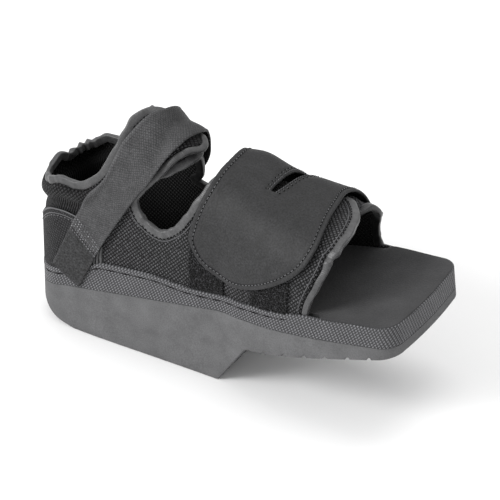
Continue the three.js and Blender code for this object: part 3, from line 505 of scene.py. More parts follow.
    def below_collar(self, s: Array, g: Array) -> Array:
        """How far a place lies below the collar's edge."""
        x = self.x_at(s)
        return self.collar_rise(x) * self.side_girth(x) - g

    def padding(self, s: Array, g: Array) -> Array:
        """How far the padded collar stands out, and how far it draws in below.

        Args:
            s: The place on the horseshoe.
            g: The length up from the base.

        Returns:
            The distance off the last.
        """
        below = self.below_collar(s, g)
        fade = smoothstep(self.PAD_END - self.x_at(s), 0, self.PAD_END / 2)
        pad = SIZES.pad * hump(below, self.PAD_DROP, self.PAD_SPREAD)
        return fade * (pad - self.WAIST_DEPTH * hump(below, self.WAIST_DROP, self.WAIST_SPREAD))

    def lap_drop(self, s: Array, g: Array) -> Array:
        """How far the far half drops under the near half, where the two lap over the crest.

        Args:
            s: The place on the horseshoe.
            g: The length up from the base.

        Returns:
            The depth.
        """
        z = SIZES
        x = np.maximum(z.heel_round, s - z.heel_arc + z.heel_round)
        late = self.LAP_DELAY * smoothstep(x, self.LATE_START * z.length, self.LATE_END * z.length)
        share = g / self.girth(x)
        depth = smoothstep(share - late, self.LAP_START, self.LAP_END)
        turn = self.LAP_TURN * z.length
        forward = smoothstep(x, turn - self.LAP_RUN, turn + self.LAP_RUN)
        sag = self.CORNER_SAG * smoothstep(x, self.SAG_START * z.length, self.SAG_END * z.length)
        sag = sag * hump(share, self.SAG_RISE, self.SAG_SPREAD)
        lap = z.ankle_lap + (z.vamp_lap - z.ankle_lap) * forward
        return np.where(s > 0, sag + depth * lap, 0)

    def off_horseshoe(self, s: Array, g: Array, distance: Array) -> Array:
        """A point a distance off the padded and lapped horseshoe surface."""
        off = distance + self.padding(s, g) - self.lap_drop(s, g)
        return self.horseshoe(s, g) + normal_at(self.horseshoe, s, g, -1) * off[..., None]

    def off_saddle(self, x: Array, q: Array, distance: Array) -> Array:
        """A point a distance off the saddle surface."""
        return self.saddle(x, q) + normal_at(self.saddle, x, q, 1) * distance[..., None]

    def off_last(self, x: Array, rise: Array, distance: Array) -> Array:
        """A point off the padded last.

        Args:
            x: Millimetres from the heel.
            rise: The share of the way up to the crest; over 1 lies on the far side.
            distance: How far off.

        Returns:
            The points.
        """
        girth = self.girth(x)
        q = (rise - 1) * girth
        side = np.where(q < 0, -1.0, 1.0)
        pad = self.padding(side * self.arc_at(x), girth - np.abs(q))
        start = SIZES.heel_round
        ahead = self.off_saddle(np.maximum(x, start), q, distance + pad)
        behind = self.off_horseshoe(-self.arc_at(x), rise * self.girth(start), distance)
        return np.where((x < start)[..., None], behind, ahead)

    def edge(self, rows: Sequence[Sequence[float]], side: float, pitch: float) -> Array:
        """An edge of the upper on the horseshoe.

        Args:
            rows: The edge's table.
            side: 1 for far, -1 for near.
            pitch: The distance between its points.

        Returns:
            Its points, evenly spaced.
        """
        x = np.array([row[0] for row in rows]) * SIZES.length
        rise = np.array([row[1] for row in rows])
        fine = spline(np.stack([self.arc_at(x), rise * self.side_girth(x)], 1), 60 * len(rows))
        return even(fine, pitch, guide=self.horseshoe(fine[:, 0], fine[:, 1])) * [side, 1]

    def offset(self, points: Array, distance: float) -> Array:
        """A line on the horseshoe moved sideways by a true distance.

        Args:
            points: The line.
            distance: How far, to the left of its direction.

        Returns:
            The moved line, without the points that would cross it.
        """
        s, g = points.T
        t = unit(np.gradient(points, axis=0))
        across = self.horseshoe(s + STEP, g) - self.horseshoe(s - STEP, g)
        up = self.horseshoe(s, g + STEP) - self.horseshoe(s, g - STEP)
        mixed = (across * up).sum(1)
        a = -mixed * t[:, 0] - (up * up).sum(1) * t[:, 1]
        b = (across * across).sum(1) * t[:, 0] + mixed * t[:, 1]
        size = length_of(across * a[:, None] + up * b[:, None]) / (2 * STEP)
        moved = points + np.stack([a, b], 1) * (distance / size)[:, None]
        track = even(self.horseshoe(s, g), 0.2)
        return moved[gaps(self.horseshoe(*moved.T), track) > abs(distance) * 0.97]


def lean(points: Array) -> Array:
    """Leans the platform's front back, to stand square on the rising sole.

    Args:
        points: The platform's points.

    Returns:
        The leant points.
    """
    z = SIZES
    t = np.clip((points[:, 0] - z.length + z.lean_run) / z.lean_run, 0, 1)
    shear = math.tan(z.toe_lean) * t * t * (3 - 2 * t)
    moved = points.copy()
    moved[:, 0] -= shear * (points[:, 2] - z.toe_height + z.toe_thickness)
    return moved


def metres(points: Array) -> Array:
    """Millimetres from the heel as the frame's metres."""
    return (np.asarray(points, float) - [SIZES.origin_from_heel, 0, 0]) * 0.001


def linear(code: str) -> tuple[float, float, float, float]:
    """A colour as the shaders take it.

    Args:
        code: Its sRGB hex code.

    Returns:
        Linear red, green, blue and alpha.
    """
    levels = [int(code[i : i + 2], 16) / 255 for i in (0, 2, 4)]
    r, g, b = (v / 12.92 if v <= 0.04045 else ((v + 0.055) / 1.055) ** 2.4 for v in levels)
    return r, g, b, 1.0


def add_node(
    tree: bpy.types.NodeTree, kind: str, inputs: dict | None = None, **settings: object
) -> bpy.types.Node:
    """Adds a shader node.

    Args:
        tree: The node tree.
        kind: The node's type, after "ShaderNode".
        inputs: Each input's value, or the output socket that feeds it.
        settings: The node's own settings.

    Returns:
        The node.
    """
    node = tree.nodes.new("ShaderNode" + kind)
    for key, value in settings.items():
        setattr(node, key, value)
    for key, value in (inputs or {}).items():
        if isinstance(value, bpy.types.NodeSocket):
            tree.links.new(value, node.inputs[key])
        else:
            node.inputs[key].default_value = value
    return node


def calculate(
    tree: bpy.types.NodeTree, operation: str, *values: float | bpy.types.NodeSocket
) -> bpy.types.NodeSocket:
    """Adds a sum of numbers or output sockets, and gives its result."""
    return add_node(tree, "Math", dict(enumerate(values)), operation=operation).outputs[0]


def placed(name: str, data: bpy.types.ID) -> bpy.types.Object:
    """Puts a mesh, a lamp or a camera in the scene.

    Args:
        name: The object's name.
        data: The mesh, lamp or camera.

    Returns:
        The object.
    """
    made = bpy.data.objects.new(name, data)
    bpy.context.scene.collection.objects.link(made)
    return made


class Slot(Enum):
    """The record's material slots."""

    FOAM = "foam"
    BOARD = "board"
    BED = "foot_bed"
    WEBBING = "webbing"
    MESH = "spacer_mesh"
    SATIN = "satin_tape"
    LAMINATE = "laminate"
    PILE = "loop_pile"


@dataclass(frozen=True)
class Finish:
    """A material: a grey with mottle and grain in real millimetres, its gloss and its relief."""

    name: str
    base: str
    roughness: float = 0.85
    ior: float = 1.5
    specular: float = 0.2
    sheen: float = 0.0
    sheen_roughness: float = 0.5
    grain: tuple = (0.8, 0.1, 0.05)
    mottle: tuple = (12.0, 0.08)

    def noise(self, tree: bpy.types.NodeTree, size: float) -> bpy.types.NodeSocket:
        """Noise of about a half.

        Args:
            tree: The node tree.
            size: The size of its lumps in millimetres.

        Returns:
            Its output socket.
        """
        space = add_node(tree, "TexCoord").outputs["Object"]
        inputs = {"Vector": space, "Scale": 1000 / size, "Detail": 2.0}
        return add_node(tree, "TexNoise", inputs).outputs["Fac"]

    def weave(self, tree: bpy.types.NodeTree) -> tuple | None:
        """The weave's tone and its relief in millimetres, where there is one."""
        return None

    def pattern(self, tree: bpy.types.NodeTree) -> tuple:
        """The pattern of the material.

        Args:
            tree: The node tree.

        Returns:
            The colour's factor and the relief in millimetres, as output sockets.
        """
        factor = add_node(tree, "Attribute", attribute_name="shade").outputs["Fac"]
        grain = self.noise(tree, self.grain[0])
        mottle = self.noise(tree, self.mottle[0])
        for source, share in ((grain, self.grain[1]), (mottle, self.mottle[1])):
            swing = calculate(tree, "MULTIPLY_ADD", source, 5 * share, 1 - 2.5 * share)
            factor = calculate(tree, "MULTIPLY", factor, swing)
        relief = calculate(tree, "MULTIPLY", grain, self.grain[2])
        woven = self.weave(tree)
        if woven is not None:
            factor = calculate(tree, "MULTIPLY", factor, woven[0])
            relief = calculate(tree, "ADD", relief, woven[1])
        return factor, relief

    def make(self) -> bpy.types.Material:
        """Builds the material once, and gives it again when asked for again.

        Returns:
            The material.
        """
        known = bpy.data.materials.get(self.name)
        if known is not None:
            return known
        material = bpy.data.materials.new(self.name)
        material.use_nodes = True
        tree = material.node_tree
        shader = tree.nodes["Principled BSDF"]
        factor, relief = self.pattern(tree)
        inputs = {6: linear(self.base), 7: factor, 0: 1.0}
        tone = add_node(tree, "Mix", inputs, data_type="RGBA", blend_type="MULTIPLY")
        tree.links.new(tone.outputs[2], shader.inputs["Base Color"])
        bump = add_node(tree, "Bump", {"Height": relief, "Distance": 0.001, "Strength": 1.0})
        tree.links.new(bump.outputs["Normal"], shader.inputs["Normal"])
        for key, value in (
            ("Roughness", self.roughness),
            ("IOR", self.ior),
            ("Sheen Weight", self.sheen),
            ("Sheen Roughness", self.sheen_roughness),
            ("Specular IOR Level", self.specular),
        ):
            shader.inputs[key].default_value = value
        return material


@dataclass(frozen=True)
class Woven(Finish):
    """A woven or knitted material: ribs in one or two directions over the piece's flat map."""

    ribs: tuple = ((1.6, 0.0), (1.6, 90.0))
    tones: tuple = (0.6, 1.25)
    depth: float = 0.25
    wobble: float = 0.12
    sharp: float = 1.0

    def rib(self, tree: bpy.types.NodeTree, pitch: float, degrees: float) -> bpy.types.NodeSocket:
        """Round ribs over the flat map, 0 in the gaps and 1 on top.

        Args:
            tree: The node tree.
            pitch: Their pitch in millimetres.
            degrees: The direction across them.

        Returns:
            Their height's output socket.
        """
        flat = add_node(tree, "UVMap", uv_map="flat").outputs["UV"]
        angle, wave = math.radians(degrees), math.pi / pitch
        across = (wave * math.cos(angle), wave * math.sin(angle), 0.0)
        phase = add_node(tree, "VectorMath", {0: flat, 1: across}, operation="DOT_PRODUCT")
        stray = self.noise(tree, 3 * pitch)
        swing = 2 * math.pi * self.wobble
        moved = calculate(tree, "MULTIPLY_ADD", stray, swing, phase.outputs["Value"])
        return calculate(tree, "ABSOLUTE", calculate(tree, "SINE", moved))

    def cells(self, tree: bpy.types.NodeTree) -> bpy.types.NodeSocket:
        """The whole weave.

        Args:
            tree: The node tree.

        Returns:
            Its height from 0 to 1, as an output socket.
        """
        height = self.rib(tree, *self.ribs[0])
        for pitch, degrees in self.ribs[1:]:
            height = calculate(tree, "MINIMUM", height, self.rib(tree, pitch, degrees))
        return height

    def weave(self, tree: bpy.types.NodeTree) -> tuple:
        """The weave's look.

        Args:
            tree: The node tree.

        Returns:
            Its tone and its relief, as output sockets.
        """
        height = calculate(tree, "POWER", self.cells(tree), self.sharp)
        low, high = self.tones
        tone = calculate(tree, "MULTIPLY_ADD", height, high - low, low)
        return tone, calculate(tree, "MULTIPLY", height, self.depth)


@dataclass(frozen=True)
class SpacerMesh(Woven):
    """A spacer mesh: a lattice of small holes that draws into ribs where the field waist is 1."""

    waist_rib: tuple = (1.8, 12.0)

    def cells(self, tree: bpy.types.NodeTree) -> bpy.types.NodeSocket:
        """The lattice, mixed with the ribs at the waist.

        Args:
            tree: The node tree.

        Returns:
            Its height from 0 to 1, as an output socket.
        """
        lattice = super().cells(tree)
        ribs = self.rib(tree, *self.waist_rib)
        waist = add_node(tree, "Attribute", attribute_name="waist").outputs["Fac"]
        return add_node(tree, "Mix", {0: waist, 2: lattice, 3: ribs}, data_type="FLOAT").outputs[0]


@dataclass
class Skin:
    """A mesh in the making: points in millimetres, faces, a flat map in millimetres and fields."""

    points: Array
    faces: list
    flat: Array
    fields: dict = field(default_factory=dict)

    def shaded(self, tone: Array | float) -> "Skin":
        """This mesh with its colour's factor at each point."""
        self.fields["shade"] = np.broadcast_to(np.asarray(tone, float), len(self.points))
        return self

    def joined(self, other: "Skin") -> "Skin":
        """Joins two meshes.

        Args:
            other: The other mesh.

        Returns:
            Both as one.
        """
        shift = len(self.points)
        faces = [*self.faces, *([i + shift for i in face] for face in other.faces)]
        keys = self.fields.keys() & other.fields.keys()
        fields = {k: np.concatenate([self.fields[k], other.fields[k]]) for k in keys}
        points = np.vstack([self.points, other.points])
        return Skin(points, faces, np.vstack([self.flat, other.flat]), fields)

    def piece(
        self, name: str, finish: Finish, slot: str, *nodes: str, smooth: float = 60.0
    ) -> None:
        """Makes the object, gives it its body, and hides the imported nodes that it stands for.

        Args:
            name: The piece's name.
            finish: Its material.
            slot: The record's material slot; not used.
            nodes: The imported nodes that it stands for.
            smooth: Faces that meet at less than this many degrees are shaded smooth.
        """
        if "shade" not in self.fields:
            self.shaded(1.0)
        mesh = bpy.data.meshes.new(name)
        mesh.from_pydata(metres(self.points).tolist(), [], self.faces)
        mesh.validate()
        corners = np.zeros(len(mesh.loops), int)
        mesh.loops.foreach_get("vertex_index", corners)
        layer = mesh.uv_layers.new(name="flat")
        layer.data.foreach_set("uv", self.flat[corners].astype(np.float32).ravel())
        for key, values in self.fields.items():
            made = mesh.attributes.new(key, "FLOAT", "POINT")
            made.data.foreach_set("value", np.asarray(values, np.float32))
        mesh.shade_smooth()
        mesh.set_sharp_from_angle(angle=math.radians(smooth))
        mesh.materials.append(finish.make())
        made = placed(name, mesh)
        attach(made, BODY)
        if nodes:
            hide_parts(*nodes)
        LOG.info("%s: %d points, %d faces", name, len(mesh.vertices), len(mesh.polygons))


def grid_faces(rows: int, columns: int, around: bool = False, along: bool = False) -> list:
    """Faces of a grid of points.

    Args:
        rows: How many rows of points there are.
        columns: How many points are in each row.
        around: Whether each row closes on itself.
        along: Whether the last row joins the first.

    Returns:
        Lists of four point numbers.
    """
    i = np.arange(rows if along else rows - 1)
    j = np.arange(columns if around else columns - 1)
    i, j = (a.ravel() for a in np.meshgrid(i, j, indexing="ij"))
    below, beside = (i + 1) % rows, (j + 1) % columns
    quads = [i * columns + j, below * columns + j, below * columns + beside, i * columns + beside]
    return np.stack(quads, 1).tolist()


def tube_faces(count: int, sides: int) -> list:
    """Faces of a tube of rings that is closed at both ends."""
    caps = [list(range(sides))[::-1], [(count - 1) * sides + k for k in range(sides)]]
    return grid_faces(count, sides, around=True) + caps


def mapped(down: Array, across: Array) -> Array:
    """The flat map of a grid of points, by its rows' and its columns' places."""
    return np.stack(np.meshgrid(down, across, indexing="ij"), -1).reshape(-1, 2)


def merged(skins: Sequence[Skin]) -> Skin:
    """Joins several meshes.

    Args:
        skins: The meshes.

    Returns:
        All as one.
    """
    whole = skins[0]
    for skin in skins[1:]:
        whole = whole.joined(skin)
    return whole


def outward(skin: Skin) -> Skin:
    """Turns a closed mesh's faces outwards.

    Args:
        skin: The mesh.

    Returns:
        The same mesh.
    """
    total = 0.0
    for face in skin.faces:
        a = skin.points[face[0]]
        for b, c in zip(face[1:-1], face[2:]):
            total += float(np.dot(a, np.cross(skin.points[b], skin.points[c])))
    if total < 0:
        skin.faces = [face[::-1] for face in skin.faces]
    return skin


def swept(rings: Array, closed: bool = False) -> Skin:
    """A closed mesh through rings of points.

    Args:
        rings: The rings, as an array of ring, point and coordinate.
        closed: Whether the last ring joins the first.

    Returns:
        The mesh; its map runs along the rings' middle and round each ring.
    """
    count, sides = rings.shape[:2]
    faces = grid_faces(count, sides, True, True) if closed else tube_faces(count, sides)
    flat = mapped(run_of(rings.mean(1)), run_of(rings[count // 2]))
    return outward(Skin(rings.reshape(-1, 3), faces, flat))


def within(points: Array, loop: Array, *holes: Array) -> Array:
    """Tests flat points against outlines.

    Args:
        points: The points.
        loop: The closed outline.
        holes: Closed outlines inside it.

    Returns:
        Whether each point lies inside the outline and outside its holes.
    """
    found = np.zeros(len(points), bool)
    after = np.roll(loop, -1, 0)
    for start in range(0, len(points), CHUNK):
        x, y = (points[start : start + CHUNK, k, None] for k in (0, 1))
        spans = (loop[:, 1] > y) != (after[:, 1] > y)
        run = np.where(after[:, 1] == loop[:, 1], 1.0, after[:, 1] - loop[:, 1])
        cross = loop[:, 0] + (y - loop[:, 1]) * (after[:, 0] - loop[:, 0]) / run
        found[start : start + CHUNK] = (spans & (x < cross)).sum(1) % 2 == 1
    for hole in holes:
        found &= ~within(points, hole)
    return found


@dataclass
class Pattern:
    """A flat pattern piece, cut out and meshed, to be wrapped over the last."""

    points: Array
    faces: Array
    loops: list

    # Rows of points follow each edge at these distances, so that its rounding shows.
    INSETS = (0.15, 0.5, 1.1)

    @classmethod
    def cut(cls, outline: Array, cell: float, holes: Sequence[Array] = ()) -> "Pattern":
        """Meshes the inside of an outline.

        Args:
            outline: The closed outline.
            cell: The size of the mesh's cells.
            holes: Closed outlines left open.

        Returns:
            The pattern.
        """
        loops = [even(loop, cell * 0.8, closed=True) for loop in (outline, *holes)]
        track = np.vstack([even(loop, 0.1, closed=True) for loop in loops])
        low, high = outline.min(0), outline.max(0)
        rows = [np.arange(low[k] + cell / 2, high[k], cell) for k in (0, 1)]
        fill = np.stack(np.meshgrid(*rows), -1).reshape(-1, 2)
        fill = fill[gaps(fill, track) > cls.INSETS[-1] + cell * 0.45]
        rings = []
        for loop in loops:
            side = beside(loop)
            for inset in cls.INSETS:
                for way in (1, -1):
                    moved = loop + side * inset * way
                    rings.append(moved[gaps(moved, track) > inset * 0.9])
        fill = np.vstack([fill, *rings])
        fill = fill[within(fill, *loops)]
        edges, start = [], 0
        for loop in loops:
            edges += [(start + i, start + (i + 1) % len(loop)) for i in range(len(loop))]
            start += len(loop)
        everything = np.vstack([*loops, fill])
        made = delaunay_2d_cdt([Vector(p) for p in everything.tolist()], edges, [], 0, 1e-5)
        points = np.array([(p.x, p.y) for p in made[0]])
        faces = np.array([face for face in made[2]])
        return cls(points, faces[within(points[faces].mean(1), *loops)], loops)

    def wrap(
        self,
        place: Callable[[Array, Array, Array], Array],
        inner: Surface,
        outer: Surface,
        relief: Callable[[Array, Array, Array], Array] | None = None,
        rounding: float = 1.2,
    ) -> Skin:
        """Wraps the pattern over a surface between two distances off it, with a rounded edge.

        Args:
            place: A point by its two numbers and its distance off the surface.
            inner: The inner face's distance.
            outer: The outer face's distance.
            relief: What the outer face stands out more, by the two numbers and the edge's distance.
            rounding: How wide the rounded edge is.

        Returns:
            The closed mesh, with a field edge that holds the distance from its edge.
        """
        a, b = self.points.T
        low, high = inner(a, b), outer(a, b)
        middle = (low + high) / 2
        track = np.vstack([even(loop, 0.2, closed=True) for loop in self.loops])
        rim = place(*track.T, (inner(*track.T) + outer(*track.T)) / 2)
        gap = gaps(place(a, b, middle), rim)
        share = np.sqrt(1 - (1 - np.clip(gap / rounding, 0, 1)) ** 2)
        top = middle + (high - middle) * share
        if relief is not None:
            top = top + relief(a, b, gap) * np.clip(gap / rounding, 0, 1)
        points = np.vstack([place(a, b, top), place(a, b, middle + (low - middle) * share)])
        count = len(a)
        faces = self.faces
        directed = np.vstack([faces[:, [0, 1]], faces[:, [1, 2]], faces[:, [2, 0]]])
        keys = directed[:, 0] * count + directed[:, 1]
        rims = directed[~np.isin(keys, directed[:, 1] * count + directed[:, 0])]
        walls = np.stack([rims[:, 1], rims[:, 0], rims[:, 0] + count, rims[:, 1] + count], 1)
        every = [*faces.tolist(), *(faces[:, ::-1] + count).tolist(), *walls.tolist()]
        fields = {"edge": np.tile(gap, 2), "inside": np.repeat([0.0, 1.0], count)}
        return outward(Skin(points, every, np.tile(self.points, (2, 1)), fields))


def capsules(places: Array, along: Array, out: Array, length: float, radius: float) -> Skin:
    """Short rounded threads as one mesh.

    Args:
        places: The middle of each.
        along: The direction of each.
        out: The direction away from the cloth at each.
        length: How long each is.
        radius: Half its thickness.

    Returns:
        The mesh.
    """
    # Five rings: how far along, how thick, and how far its ends dip into the cloth.
    sides, stations = 6, np.array([-0.5, -0.38, 0.0, 0.38, 0.5])
    thick = np.array([0.25, 0.8, 1.0, 0.8, 0.25]) * radius
    dip = np.array([-0.7, -0.1, 0.35, -0.1, -0.7]) * radius
    along = unit(along)
    across = unit(np.cross(out, along))
    up = np.cross(along, across)
    angle = np.arange(sides) * 2 * math.pi / sides
    ring = across[:, None, :] * np.cos(angle)[:, None] + up[:, None, :] * np.sin(angle)[:, None]
    centre = places[:, None, :] + along[:, None, :] * (stations * length)[:, None]
    centre = centre + up[:, None, :] * dip[:, None]
    points = centre[:, :, None, :] + ring[:, None, :, :] * thick[:, None, None]
    one = tube_faces(len(stations), sides)
    each = len(stations) * sides
    faces = [[i + k * each for i in face] for k in range(len(places)) for face in one]
    flat = np.tile(mapped(stations * length, angle), (len(places), 1))
    return outward(Skin(points.reshape(-1, 3), faces, flat))


def thread_run(track: Array, out: Array, pitch: float, length: float, radius: float) -> Skin:
    """A row of stitches along a track.

    Args:
        track: The track.
        out: The direction away from the cloth at each point.
        pitch: The distance from stitch to stitch.
        length: How long each is.
        radius: Half its thickness.

    Returns:
        The mesh.
    """
    both = even(np.hstack([track, out]), pitch, guide=track)
    places, away = both[:, :3], unit(both[:, 3:])
    return capsules(places, np.gradient(places, axis=0), away, length, radius)


def cord(track: Array, out: Array, radius: Array | float, flatness: float = 1.0) -> Skin:
    """A thin cord or rolled fold along a track.

    Args:
        track: Its middle line.
        out: The direction away from the cloth at each point.
        radius: Half its thickness, along the cloth.
        flatness: Its height as a share of its width.

    Returns:
        The mesh.
    """
    along = unit(np.gradient(track, axis=0))
    side = unit(np.cross(along, out))
    up = np.cross(side, along)
    angle = np.arange(8) * math.pi / 4
    size = np.broadcast_to(np.asarray(radius, float), len(track))[:, None, None]
    ring = side[:, None] * np.cos(angle)[:, None] + up[:, None] * np.sin(angle)[:, None] * flatness
    return swept(track[:, None] + ring * size)


def ripple(run: Array, pitch: float, seed: int) -> Array:
    """Uneven waves along a run.

    Args:
        run: The places along it.
        pitch: The distance between two knots.
        seed: What the knots are drawn from.

    Returns:
        Values from -1 to 1.
    """
    source = np.random.default_rng(seed)
    count = int(run[-1] / pitch) + 3
    knots = source.uniform(-1, 1, count)
    place = run / pitch
    i = place.astype(int)
    t = place - i
    t = t * t * (3 - 2 * t)
    return knots[i] * (1 - t) + knots[i + 1] * t


LAST = Last()
# Into how many stretches the outline's heel, side, toe corner and bow are divided.
HEEL_STEPS, SIDE_STEPS, CORNER_STEPS, BOW_STEPS = 36, 230, 18, 24


def plan_side(inset: float) -> Array:
    """The near side of the sole's outline.

    Args:
        inset: How far inside it.

    Returns:
        Points from the back of the heel to the middle of the toe.
    """
    z = SIZES
    t = np.linspace(0, 1, HEEL_STEPS + 1)[:-1] * math.pi / 2
    reach, width = z.heel_round - inset, LAST.half_width(z.heel_round) - inset
    power = 2 / z.heel_square
    heel = np.stack([z.heel_round - reach * np.cos(t) ** power, -width * np.sin(t) ** power], 1)
    radius = z.toe_corner - inset / 2
    corner = z.length - inset - z.toe_bow - radius
    x = np.linspace(z.heel_round, corner, SIDE_STEPS + 1)[:-1]
    side = np.stack([x, inset - LAST.half_width(x)], 1)
    edge = LAST.half_width(corner) - inset - radius
    t = np.linspace(0, 1, CORNER_STEPS + 1) * math.pi / 2
    turn = np.stack([corner + radius * np.sin(t), -edge - radius * np.cos(t)], 1)
    t = np.linspace(0, 1, BOW_STEPS + 1)[1:]
    bow = np.stack([z.length - inset - z.toe_bow * (1 - t) ** 2, -edge * (1 - t)], 1)
    return np.vstack([heel, side, turn, bow])


def plan_loop(inset: float) -> Array:
    """The sole's whole outline, as a closed loop."""
    near = plan_side(inset)
    return np.vstack([near, near[1:-1][::-1] * [1, -1]])


def bridged(ring: list, reverse: bool) -> list:
    """Faces that close a loop of points, with near and far points joined across.

    Args:
        ring: The closing loop's point numbers.
        reverse: Whether the faces look the other way.

    Returns:
        The faces.
    """
    half = len(ring) // 2
    faces = [[ring[0], ring[1], ring[-1]]]
    faces += [[ring[i], ring[i + 1], ring[-i - 1], ring[-i]] for i in range(1, half - 1)]
    faces.append([ring[half - 1], ring[half], ring[half + 1]])
    return [face[::-1] for face in faces] if reverse else faces


def slab(profile: Sequence[tuple], plan: Callable[[float], Array] = plan_loop) -> Skin:
    """A platform layer from loops of the sole's outline.

    Args:
        profile: Each loop's inset and its height as a function of x, from the bottom up.
        plan: The closed outline at an inset.

    Returns:
        The closed mesh, leant at the toe.
    """
    loops = []
    for inset, height in profile:
        outline = plan(inset)
        loops.append(np.column_stack([outline, height(outline[:, 0])]))
    points = np.vstack(loops)
    count = len(loops[0])
    faces = grid_faces(len(loops), count, around=True)
    last = (len(loops) - 1) * count
    faces += bridged(list(range(count)), False)
    faces += bridged([last + k for k in range(count)], True)
    return outward(Skin(lean(points), faces, points[:, :2].copy()))


def wedge_profile() -> Callable[[Array], Array]:
    """The sole's underside.

    Returns:
        Its height as a function of x.
    """
    z = SIZES
    top = float(LAST.seat(0)) - z.heel_edge
    t, power = np.linspace(0, math.pi / 2, 60), 2 / z.heel_curve_square
    heel = [z.heel_curve * (1 - np.cos(t).clip(0) ** power), top * (1 - np.sin(t) ** power)]
    heel = np.stack(heel, 1)

    def arc(before: Array, corner: Array, after: Array, radius: float) -> Array:
        """An arc that touches both sides of a corner.

        Args:
            before: A point on the side that comes in.
            corner: The corner.
            after: A point on the side that goes out.
            radius: The arc's radius.

        Returns:
            Its points.
        """
        a, b = unit(before - corner), unit(after - corner)
        half = math.acos(float(a @ b)) / 2
        centre = corner + unit(a + b) * radius / math.sin(half)
        start, end = (corner + way * radius / math.tan(half) - centre for way in (a, b))
        turn = math.atan2(start[0] * end[1] - start[1] * end[0], float(start @ end))
        angles = np.linspace(0, turn, 16)
        spin = np.stack([np.cos(angles), np.sin(angles)], 1)
        first, second = spin.T
        moved = [start[0] * first - start[1] * second, start[0] * second + start[1] * first]
        return centre + np.stack(moved, 1)

    nose = np.array([z.wedge_length, 0.0])
    throat = np.array([z.wedge_length + z.wedge_front_run, z.wedge_front_height])
    toe = np.array([z.length, z.toe_height - z.toe_thickness])
    line = [heel, arc(np.array([z.heel_curve, 0.0]), nose, throat, z.nose_radius)]
    line.append(arc(nose, throat, toe, z.throat_radius))
    down = unit(toe - throat)
    line.append((toe + down * 20)[None])
    path = np.vstack(line)

    def height(x: Array) -> Array:
        """The underside with the tread's grooves.

        Args:
            x: Millimetres from the heel.

        Returns:
            Its height at each x.
        """
        bare = np.interp(x, path[:, 0], path[:, 1])
        along = (np.asarray(x) - throat[0]) / down[0]
        number = np.floor(along / z.tread_pitch)
        inside = along - number * z.tread_pitch
        groove = plateau(inside, -0.2, 0.3, z.tread_groove - 0.3, z.tread_groove + 0.2)
        count = math.floor((length_of(toe - throat) - z.tread_pitch) / z.tread_pitch)
        return bare + np.where((number >= 1) & (number <= count), groove * z.tread_depth, 0)

    return height


# Moulded EVA foam: matt, with faint cloudy blotches and fine pores.
FOAM = Finish("EVA_foam_moulded", "5D5D5E", grain=(0.9, 0.14, 0.1), mottle=(13.0, 0.11))
# Die-cut EVA board: darker and even.
BOARD = Finish("EVA_board_cut", "2C2C2D")
# Napped polyester on the foot bed: soft, almost without gloss.
BED = Finish(
    "polyester_nap_foot_bed", "2D2D2E", roughness=0.95, sheen=0.15,
    grain=(1.0, 0.2, 0.15), mottle=(16.0, 0.14),
)
# Woven polyester webbing: slanting lozenges of about 2 mm, which catch the light.
STRIP = Woven(
    "polyester_webbing_woven", "48484A", roughness=0.6, specular=0.35, grain=(0.9, 0.15, 0.05),
    ribs=((1.75, -50.0), (2.3, 22.0)), tones=(0.2, 2.9), depth=0.6, wobble=0.05, sharp=1.25,
)
# Nylon webbing: its fine weave, about 1 mm, is drawn half as coarse again so that it shows.
STRAP_WEB = Woven(
    "nylon_webbing_ribbed", "373738", roughness=0.6, specular=0.3, grain=(1.0, 0.42, 0.12),
    ribs=((1.4, 48.0), (1.4, -42.0)), tones=(0.62, 1.7), depth=0.12, wobble=0.2, mottle=(9.0, 0.14),
)
# Knitted spacer mesh: light knots between slanting black holes, coarse so that they show.
MESH = SpacerMesh(
    "spacer_mesh_knitted", "29292A", roughness=0.75, specular=0.12, sheen=0.05,
    grain=(1.2, 0.75, 0.1), ribs=((2.15, -38.0), (2.2, 50.0)), tones=(0.0, 3.8), depth=0.7,
    wobble=0.22, sharp=1.5,
)
# Woven satin tape: long floats with a silky gloss; its rib is drawn coarser than the thread.
SATIN = Woven(
    "satin_tape_woven", "3F3F40", roughness=0.42, specular=0.5, sheen=0.1,
    ribs=((1.2, 8.0),), tones=(0.9, 1.06), depth=0.05, grain=(1.0, 0.18, 0.06), mottle=(4.0, 0.22),
)
# Laminate with a brushed face: matt, finely mottled.
LAMINATE = Finish(
    "laminate_brushed", "1B1B1C", roughness=0.62, specular=0.38,
    grain=(1.2, 0.6, 0.2), mottle=(9.0, 0.22),
)
# The same laminate, unbrushed, on the strap's foot, as a copy painted a little lighter for the
# side light that falls on the foot.
LAMINATE_PAINTED_LIT = Finish(
    "laminate_smooth_painted_lit", "262627", roughness=0.65, specular=0.3, grain=(1.3, 0.9, 0.25)
)
# Knitted jersey on the heel patch: soft specks.
JERSEY = Woven(
    "jersey_knitted", "252526", roughness=0.8, grain=(1.0, 0.6, 0.16),
    ribs=((1.8, 20.0), (1.8, -60.0)), tones=(0.3, 2.2), depth=0.3, sharp=1.2,
)
# Nylon loop pile: nearly black; its glints are painted onto the loops as highlights.
PILE = Finish("nylon_loop_pile", "121213", roughness=0.6, specular=0.3, grain=(0.7, 0.5, 0.2))
# Spun polyester thread: mid grey with a soft gloss.
THREAD = Finish(
    "polyester_thread_grey", "5C5C5E", roughness=0.55, specular=0.4, grain=(2.0, 0.5, 0.02)
)
# The same thread in black.
THREAD_BLACK = Finish("polyester_thread_black", "080808", roughness=0.7, specular=0.1)
# Rolled piping of the same satin as the tape.
PIPING = Finish("satin_piping", "505052", roughness=0.5, specular=0.4)


